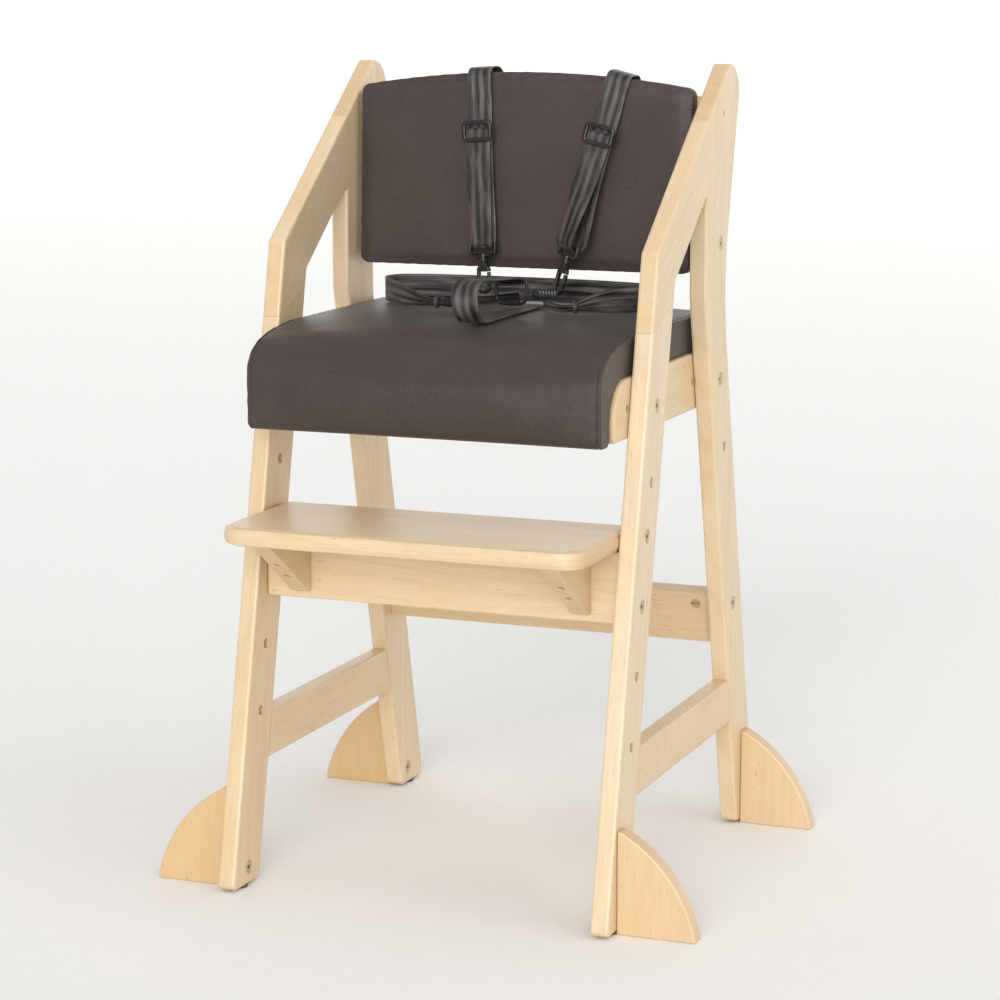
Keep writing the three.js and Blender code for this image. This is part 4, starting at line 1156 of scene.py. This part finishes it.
    # Crumples run along the belt, closer together where it is gathered.
    ahead = open_tangents(path)
    out = np.cross(ahead, side)
    u = across[:-1][None, :] / (width * MM)
    folds = np.sin(TAU * u * 3.5 + 0.02 * s[:, 0:1]) + 0.4 * np.sin(TAU * u * 6 - 0.05 * s[:, 0:1])
    rows += out[:, None, :] * (folds * s[:, 5:6])[..., None]
    rows[..., 2] = np.maximum(rows[..., 2], rest - 1.2)
    belt = build("belt", [shell(rows * MM, across=across, along=along)],
                 "chair", shared(satin_webbing))
    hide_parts("waist_belt")
    for name, x in (("left", -60), ("right", 80)):
        k = int(np.argmin(np.abs(path[:, 0] - x) + np.where(path[:, 1] > 40, 1000, 0)))
        half = width * s[k, 3] / 2 + 1.6
        turn = np.linspace(0, TAU, 40, endpoint=False)
        normal = out[k] / np.linalg.norm(out[k])
        loop = (path[k] + np.cos(turn)[:, None] * side[k] * half + np.sin(turn)[:, None] * normal * 4.6)
        loop[:, 2] = np.maximum(loop[:, 2], rest - 0.6)
        tangents = closed_tangents(loop)
        outward = np.cross(tangents, np.tile(ahead[k], (len(loop), 1)))
        section = rounded_section(1.2, 4.0, 0.5, 3)
        ring_rows = carry(section, loop, outward, np.tile(ahead[k], (len(loop), 1)))
        build(f"{name}_belt_tie", [shell(ring_rows * MM, ring=True, across=section_u(section),
                                         along=np.linspace(0, 0.06, len(loop) + 1))],
              "chair", shared(satin_webbing))


def section_u(section):
    """Distance round a closed section, in metres, for the UV map."""
    closed = np.vstack([section, section[:1]])
    return distance_along(closed) * MM


def crotch_strap():
    """The crotch strap: flat along the seat from the back, over in a loop at the front, and back
    to the ring, round whose upper bar it is sewn."""
    low, high = box_mm("crotch_strap")
    ring_low, ring_high = box_mm("waist_ring")
    x = (low[0] + high[0]) / 2
    rest = low[2] + 0.7
    bar_y = (ring_low[1] + ring_high[1]) / 2
    bar_z = ring_high[2] - 1.7
    loop = arc((low[1] + 20, rest + 19.3), 19.3, -95, -265, 30)
    plan = np.concatenate([
        np.stack([np.linspace(high[1] - 1, low[1] + 26, 30), np.full(30, rest)], -1),
        loop,
        curve_through([(low[1] + 24, rest + 38.4), (low[1] + 46, rest + 37.0), (bar_y - 26, bar_z + 5.2),
                       (bar_y - 5, bar_z + 3.6)], 24),
        arc((bar_y, bar_z), 2.8, 105, -85, 14),
        np.array([(bar_y - 5, bar_z - 2.6), (bar_y - 14, bar_z - 2.2)]),
    ])
    path = np.stack([np.full(len(plan), x), plan[:, 0], plan[:, 1]], -1)
    path = resample(path, path, 170)
    # The loop leans over to the left as it comes forward.
    forward = smoothstep(-path[:, 1], -low[1] - 60, -low[1])
    raised = smoothstep(path[:, 2], rest, rest + 36)
    path[:, 0] += -3.0 * forward * raised
    side = np.tile([1.0, 0.0, 0.0], (len(path), 1))
    side[:, 1] = 0.16 * forward
    rows, across, along = webbing(path, side, sizes().web_width / MM, sizes().web / MM)
    rows[..., 2] = np.maximum(rows[..., 2], rest - 0.9)
    strap = build("crotch_web", [shell(rows * MM, across=across, along=along)],
                  "chair", shared(satin_webbing))
    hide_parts("crotch_strap")


# ---- Moulded fittings -----------------------------------------------------------------------

def moulded_piece(name, shells, body, *nodes):
    """A moulded black fitting that stands for one or more CAD nodes."""
    piece = build(name, shells, body, shared(moulded_acetal))
    soften(piece)
    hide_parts(*nodes)
    return piece


def slider(side):
    """A tri-glide: a round-cornered frame in front of the webbing, two cheeks that reach back, and
    the middle bar that the webbing is sewn round."""
    place = hang_place(side)
    half, tall, depth = 13.7, 17.2, -6.7
    path = rounded_loop(half, SLIDER_RISE - tall / 2, SLIDER_RISE + tall / 2, 3.2)
    tangents = closed_tangents(path)
    outward = np.stack([tangents[:, 1], np.zeros(len(path)), -tangents[:, 0]], -1)
    middle = np.stack([path[:, 0], np.full(len(path), depth), path[:, 1]], -1)
    section = rounded_section(4.2, 3.8, 1.3)
    ring = carry(section, middle, outward, np.tile([0.0, 1.0, 0.0], (len(path), 1)))
    shells = [shell(in_plane(ring, place), ring=True)]
    for hand in (-1, 1):
        x = hand * half
        shells.append(bar_shell((x, depth, SLIDER_RISE), (x, -0.4, SLIDER_RISE),
                                rounded_section(6.5, 2.6, 1.0), (1, 0, 0), place))
    shells.append(bar_shell((-half, -2.0, SLIDER_RISE), (half, -2.0, SLIDER_RISE),
                            round_section(1.25), (0, 0, 1), place))
    moulded_piece(f"{side}_strap_slider", shells, f"{side}_slider", f"{side}_slider")


def swivel_eye(side):
    """The upper half of a snap hook: a bar for the webbing between two ears, a yoke that narrows,
    and a ribbed collar in which the hook turns."""
    place = eye_place(side)
    half = 14.2
    shells = [bar_shell((-half, 0, 0), (half, 0, 0), round_section(1.9), (0, 0, 1), place)]
    for hand in (-1, 1):
        shells.append(bar_shell((hand * half, 0, 2.4), (hand * half, 0, -9.4),
                                rounded_section(2.6, 5.4, 1.1), (0, 1, 0), place))
    heights = np.array([-7.0, -7.4, -8.6, -9.6, -10.6, -11.6, -12.0])
    spread = np.array([14.4, 15.1, 15.1, 13.6, 9.0, 5.4, 4.6]) / 15.1
    path = np.stack([np.zeros(7), np.zeros(7), heights], -1)
    rows = carry(rounded_section(30.2, 4.8, 1.4), path, np.tile([1.0, 0, 0], (7, 1)),
                 np.tile([0, 1.0, 0], (7, 1)), np.stack([spread, np.ones(7)], -1))
    shells.append(shell(in_plane(rows, place)))
    collar = [(-9.2, 2.0), (-9.3, 4.2), (-10.9, 4.6)]
    for k in range(3):
        top = -11.1 - 1.9 * k
        collar += [(top, 4.6), (top - 0.35, 3.9), (top - 0.9, 3.9), (top - 1.2, 4.5), (top - 1.7, 4.5)]
    collar += [(-17.0, 4.2), (-17.2, 2.0)]
    shells.append(turned_shell(collar, place))
    moulded_piece(f"{side}_eye", shells, "chair", f"{side}_swivel_eye")


HOOK_TOP, HOOK_LOW, HOOK_HALF = -17.6, -47.0, 5.7  # its neck, the middle of its lowest bend, and
MOUTH_TOP, MOUTH_LOW = -27.4, -41.2                # half its width; and the mouth that the gate closes


def snap_hook(side):
    """The lower half of a snap hook: a neck, shoulders, and a flat hook that is open at one side."""
    place = eye_place(side)
    heights = np.array([HOOK_TOP, -18.2, -19.2, -20.8, -22.4, -24.0, -25.6, -26.8])
    spread = np.array([5.4, 6.0, 6.6, 9.0, 12.6, 14.4, 14.8, 14.4]) / 15
    depth = np.array([5.2, 5.8, 5.4, 5.0, 5.0, 5.0, 5.0, 4.6]) / 5
    path = np.stack([np.zeros(8), np.zeros(8), heights], -1)
    rows = carry(rounded_section(15, 5, 1.6), path, np.tile([1.0, 0, 0], (8, 1)),
                 np.tile([0, 1.0, 0], (8, 1)), np.stack([spread, depth], -1))
    shells = [shell(in_plane(rows, place))]
    low = HOOK_LOW + HOOK_HALF
    bend = np.concatenate([
        np.stack([np.full(8, -HOOK_HALF), np.linspace(-25.0, low, 8)], -1),
        arc((0, low), HOOK_HALF, 180, 360, 24)[1:],
    ])
    bend = resample(bend, bend, 40)
    tangents = open_tangents(bend)
    outward = np.stack([tangents[:, 1], np.zeros(len(bend)), -tangents[:, 0]], -1)
    middle = np.stack([bend[:, 0], np.zeros(len(bend)), bend[:, 1]], -1)
    taper = np.ones((len(bend), 2))
    taper[-3:] = np.array([[0.97, 0.97], [0.85, 0.85], [0.6, 0.6]])
    rows = carry(rounded_section(3.4, 5.0, 1.3), middle, outward,
                 np.tile([0.0, 1.0, 0.0], (len(bend), 1)), taper)
    shells.append(shell(in_plane(rows, place)))
    moulded_piece(f"{side}_hook_body", shells, f"{side}_hook", f"{side}_snap_hook")


def hook_gate(side):
    """The gate of a snap hook: a sprung tongue with three thumb ridges on its outer side."""
    place = eye_place(side)
    x = HOOK_HALF + 0.1
    shells = [bar_shell((x, 0, MOUTH_TOP), (x, 0, MOUTH_LOW), rounded_section(4.2, 3.0, 1.0),
                        (1, 0, 0), place)]
    for k in range(3):
        z = MOUTH_TOP - 4.0 - 2.2 * k
        shells.append(bar_shell((x + 1.5, -1.7, z), (x + 1.5, 1.7, z), round_section(0.55, 10),
                                (0, 0, 1), place, 0.3))
    moulded_piece(f"{side}_gate_tongue", shells, f"{side}_gate", f"{side}_hook_gate")


def waist_fittings():
    """The ring that the harness meets in, and the ribbed hook on the end of the waist belt."""
    low, high = box_mm("waist_ring")
    middle = (low + high) / 2
    place = Place((middle[0] * MM, middle[1] * MM, 0), (1, 0, 0), (0, 1, 0), (0, 0, 1))
    bar = 1.7  # half the thickness of the ring's bar
    half, bottom, top = (high[0] - low[0]) / 2 - bar, low[2] + bar, high[2] - bar
    path = np.concatenate([
        arc((half - 1.6, top - 1.6), 1.6, 0, 90, 6), arc((-half + 1.6, top - 1.6), 1.6, 90, 180, 6),
        arc((-half + 8, bottom + 8), 8, 180, 270, 12), arc((half - 8, bottom + 8), 8, 270, 360, 12),
    ])
    path = resample(np.vstack([path, path[:1]]), np.vstack([path, path[:1]]), 97)[:-1]
    tangents = closed_tangents(path)
    outward = np.stack([tangents[:, 1], np.zeros(len(path)), -tangents[:, 0]], -1)
    line = np.stack([path[:, 0], np.zeros(len(path)), path[:, 1]], -1)
    rows = carry(round_section(bar, 16), line, outward, np.tile([0.0, 1.0, 0.0], (len(path), 1)))
    moulded_piece("belt_ring", [shell(in_plane(rows, place), ring=True)], "ring", "waist_ring")

    low, high = box_mm("waist_hook")
    middle = (low + high) / 2
    place = Place(middle * MM, (1, 0, 0), (0, 1, 0), (0, 0, 1))
    length, depth = high[0] - low[0], high[1] - low[1]
    along = np.linspace(-length / 2, length / 2, 60)
    ribs = 1 - 0.16 * (0.5 + 0.5 * np.cos(TAU * along / 3.0)) * (np.abs(along - 2) < 7.5)
    ends = np.sqrt(np.clip(1 - (np.abs(along) / (length / 2)) ** 12, 0.02, 1))
    scale = np.stack([ribs * ends, ribs * ends], -1)
    line = np.stack([along, np.zeros(60), np.zeros(60)], -1)
    rows = carry(rounded_section(depth, high[2] - low[2], 2.2), line, np.tile([0.0, 1.0, 0], (60, 1)),
                 np.tile([0, 0, 1.0], (60, 1)), scale)
    moulded_piece("belt_hook", [shell(in_plane(rows, place))], "chair", "waist_hook")


# ---- Stage ----------------------------------------------------------------------------------

def soft_sun(name, come_from, strength, spread):
    """A distant soft light: as strong on the far floor as on the chair. `spread` is in degrees."""
    data = bpy.data.lights.new(name, "SUN")
    data.energy = strength
    data.angle = math.radians(spread)
    lamp = bpy.data.objects.new(name, data)
    bpy.context.scene.collection.objects.link(lamp)
    lamp.rotation_euler = Vector(come_from).to_track_quat("Z", "Y").to_euler()


def studio_sweep():
    """The floor, which curves up into a wall far behind the chair: a straight run, a quarter of a
    circle and a straight rise, carried across."""
    reach, front, bend, tall, half = 7.0, -14.0, 3.0, 9.0, 30.0
    turn = np.linspace(0, math.pi / 2, 40)
    profile = np.concatenate([
        [(front, 0.0)],
        np.stack([reach + bend * np.sin(turn), bend - bend * np.cos(turn)], -1),
        [(reach + bend, tall)],
    ])
    count = len(profile)
    points = np.concatenate([
        np.column_stack([np.full(count, x), profile]) for x in (-half, half)
    ])
    faces = [(k, k + count, k + count + 1, k + 1) for k in range(count - 1)]
    mesh = bpy.data.meshes.new("floor")
    mesh.from_pydata(points.tolist(), [], faces)
    mesh.polygons.foreach_set("use_smooth", [True] * len(faces))
    mesh.materials.append(studio_floor())
    floor = bpy.data.objects.new("floor", mesh)
    bpy.context.scene.collection.objects.link(floor)


def make_stage():
    """A pale floor and wall, three broad soft lights, a weak even world, and the camera."""
    scene = bpy.context.scene
    studio_sweep()
    soft_sun("front_soft", (0.2, -1.0, 0.28), 2.3, 42)
    soft_sun("side_soft", (1.0, -0.25, 0.5), 0.75, 60)
    soft_sun("top_soft", (-0.1, -0.1, 1.0), 0.4, 70)
    world = bpy.data.worlds.new("studio")
    world.use_nodes = True
    background = world.node_tree.nodes["Background"]
    background.inputs["Color"].default_value = (1, 1, 1, 1)
    background.inputs["Strength"].default_value = 0.4
    scene.world = world
    scene.view_settings.view_transform = "Standard"
    data = bpy.data.cameras.new("camera")
    data.lens = sizes().lens
    data.sensor_width = 36
    data.clip_end = 200
    camera = bpy.data.objects.new("camera", data)
    camera.location = (1.03551, -2.60314, 0.86208)
    camera.rotation_euler = (math.radians(79.8675), 0, math.radians(21.544))
    scene.collection.objects.link(camera)
    scene.camera = camera


# ---- Wood, boards and fasteners -------------------------------------------------------------

def wood(name, along, tone=0.0, flat=(1, 0, 0)):
    """Gives a CAD node its own lacquered birch, with the grain along a direction."""
    offset = sum(ord(letter) * (k + 1) for k, letter in enumerate(name)) * 0.0137
    finish_node(name, lacquered_birch(f"birch_{name}", along, tone, offset, flat))


# The front legs are cut from unlike boards; the left feet's darker, warmer tone is painted shade.
FRONT_LEG_TONE = {"left": 0.5, "right": -0.8}
FOOT_TONE_AND_SHADE = {"left": 3.0, "right": 1.3}


def side_frames():
    arm_slope = math.radians(37.9)
    for side in ("left", "right"):
        wood(f"{side}_front_leg", (0, 0.2076, 0.9782), FRONT_LEG_TONE[side])
        wood(f"{side}_arm", (0, math.cos(arm_slope), math.sin(arm_slope)), 0.2)
        wood(f"{side}_rear_leg", (0, 0, 1), 0.0)
        wood(f"{side}_side_stretcher", (0, 1, 0), 0.8)
        wood(f"{side}_seat_rail", (0, 1, 0), 0.5)


def crossbar_and_feet():
    wood("rear_crossbar", (1, 0, 0), 0.8, (0, 1, 0))
    wood("footrest_apron", (1, 0, 0), 0.0, (0, 1, 0))
    for name in frame["nodes"]:
        if name.endswith("_foot"):
            # The left feet's darker tone is painted shade; the right feet's is the wood's own.
            wood(name, (0, 0, 1), FOOT_TONE_AND_SHADE["left" if "left" in name else "right"], (0, 1, 0))


def footrest():
    wood("footrest_board", (1, 0, 0), 0.2, (0, 0, 1))
    for name in frame["nodes"]:
        if "bracket" in name:
            wood(name, (0, 1, 0), 0.9)


def fasteners():
    for name in frame["nodes"]:
        if "bolt" in name or "nut" in name or "screw" in name:
            finish_node(name, shared(passivated_zinc))
        elif "glide" in name:
            finish_node(name, shared(pressed_felt))


# ---- Add-on ---------------------------------------------------------------------------------

class HIGHCHAIR_OT_stage(bpy.types.Operator):
    """Make the floor, the soft lights and the camera"""

    bl_idname = "highchair.stage"
    bl_label = "Stage"
    bl_options = {"REGISTER", "UNDO"}

    def execute(self, context):
        make_stage()
        return {"FINISHED"}


class HIGHCHAIR_OT_side_frames(bpy.types.Operator):
    """Finish the legs, arms, stretchers and seat rails in lacquered birch"""

    bl_idname = "highchair.side_frames"
    bl_label = "Side frames"
    bl_options = {"REGISTER", "UNDO"}

    def execute(self, context):
        side_frames()
        return {"FINISHED"}


class HIGHCHAIR_OT_crossbar_and_feet(bpy.types.Operator):
    """Finish the pieces that tie the two side frames together"""

    bl_idname = "highchair.crossbar_and_feet"
    bl_label = "Crossbar, apron and feet"
    bl_options = {"REGISTER", "UNDO"}

    def execute(self, context):
        crossbar_and_feet()
        return {"FINISHED"}


class HIGHCHAIR_OT_seat(bpy.types.Operator):
    """Make the filled seat pad on its plywood board"""

    bl_idname = "highchair.seat"
    bl_label = "Seat"
    bl_options = {"REGISTER", "UNDO"}

    def execute(self, context):
        finish_node("seat_board", birch_plywood("plywood_seat_board", (0, 0, 1)))
        seat_cushion()
        return {"FINISHED"}


class HIGHCHAIR_OT_backrest(bpy.types.Operator):
    """Make the filled backrest pad on its plywood board"""

    bl_idname = "highchair.backrest"
    bl_label = "Backrest"
    bl_options = {"REGISTER", "UNDO"}

    def execute(self, context):
        finish_node("backrest_board", birch_plywood("plywood_backrest_board", (0, 1, 0)))
        backrest_cushion()
        return {"FINISHED"}


class HIGHCHAIR_OT_footrest(bpy.types.Operator):
    """Finish the footrest board and its brackets"""

    bl_idname = "highchair.footrest"
    bl_label = "Footrest"
    bl_options = {"REGISTER", "UNDO"}

    def execute(self, context):
        footrest()
        return {"FINISHED"}


class HIGHCHAIR_OT_fasteners(bpy.types.Operator):
    """Finish the bolts and nuts in zinc and the glides in felt"""

    bl_idname = "highchair.fasteners"
    bl_label = "Fasteners and glides"
    bl_options = {"REGISTER", "UNDO"}

    def execute(self, context):
        fasteners()
        return {"FINISHED"}


class HIGHCHAIR_OT_shoulder_straps(bpy.types.Operator):
    """Make both looped shoulder straps"""

    bl_idname = "highchair.shoulder_straps"
    bl_label = "Shoulder straps"
    bl_options = {"REGISTER", "UNDO"}

    def execute(self, context):
        for side in ("left", "right"):
            shoulder_strap(side)
        return {"FINISHED"}


class HIGHCHAIR_OT_waist_belt(bpy.types.Operator):
    """Make the gathered waist belt and its ties"""

    bl_idname = "highchair.waist_belt"
    bl_label = "Waist belt"
    bl_options = {"REGISTER", "UNDO"}

    def execute(self, context):
        waist_belt()
        return {"FINISHED"}


class HIGHCHAIR_OT_crotch_strap(bpy.types.Operator):
    """Make the crotch strap's loop"""

    bl_idname = "highchair.crotch_strap"
    bl_label = "Crotch strap"
    bl_options = {"REGISTER", "UNDO"}

    def execute(self, context):
        crotch_strap()
        return {"FINISHED"}


class HIGHCHAIR_OT_strap_fittings(bpy.types.Operator):
    """Make the moulded fittings of the harness"""

    bl_idname = "highchair.strap_fittings"
    bl_label = "Sliders, hooks and ring"
    bl_options = {"REGISTER", "UNDO"}

    def execute(self, context):
        for side in ("left", "right"):
            slider(side)
            swivel_eye(side)
            snap_hook(side)
            hook_gate(side)
        waist_fittings()
        return {"FINISHED"}


class HIGHCHAIR_PT_panel(bpy.types.Panel):
    """Lists the chair's settings and everything that can be made"""

    bl_label = "High chair"
    bl_idname = "HIGHCHAIR_PT_panel"
    bl_space_type = "VIEW_3D"
    bl_region_type = "UI"
    bl_category = "High chair"

    def draw(self, context):
        for operator in OPERATORS:
            self.layout.operator(operator.bl_idname)
        for group in (context.scene.high_chair_sizes, context.scene.high_chair_colours):
            box = self.layout.box()
            for name in group.__annotations__:
                box.prop(group, name)


OPERATORS = (
    HIGHCHAIR_OT_stage,
    HIGHCHAIR_OT_side_frames,
    HIGHCHAIR_OT_crossbar_and_feet,
    HIGHCHAIR_OT_seat,
    HIGHCHAIR_OT_backrest,
    HIGHCHAIR_OT_footrest,
    HIGHCHAIR_OT_fasteners,
    HIGHCHAIR_OT_shoulder_straps,
    HIGHCHAIR_OT_waist_belt,
    HIGHCHAIR_OT_crotch_strap,
    HIGHCHAIR_OT_strap_fittings,
)
CLASSES = (HighChairColours, HighChairSizes) + OPERATORS + (HIGHCHAIR_PT_panel,)


def register():
    for cls in CLASSES:
        bpy.utils.register_class(cls)
    bpy.types.Scene.high_chair_colours = bpy.props.PointerProperty(type=HighChairColours)
    bpy.types.Scene.high_chair_sizes = bpy.props.PointerProperty(type=HighChairSizes)


def unregister():
    del bpy.types.Scene.high_chair_sizes
    del bpy.types.Scene.high_chair_colours
    for cls in reversed(CLASSES):
        bpy.utils.unregister_class(cls)


def main():
    """Registers the add-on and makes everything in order."""
    register()
    for operator in OPERATORS:
        group, name = operator.bl_idname.split(".")
        if getattr(getattr(bpy.ops, group), name)() != {"FINISHED"}:
            raise RuntimeError(f"{operator.bl_idname} did not finish")


if __name__ == "__main__":
    main()
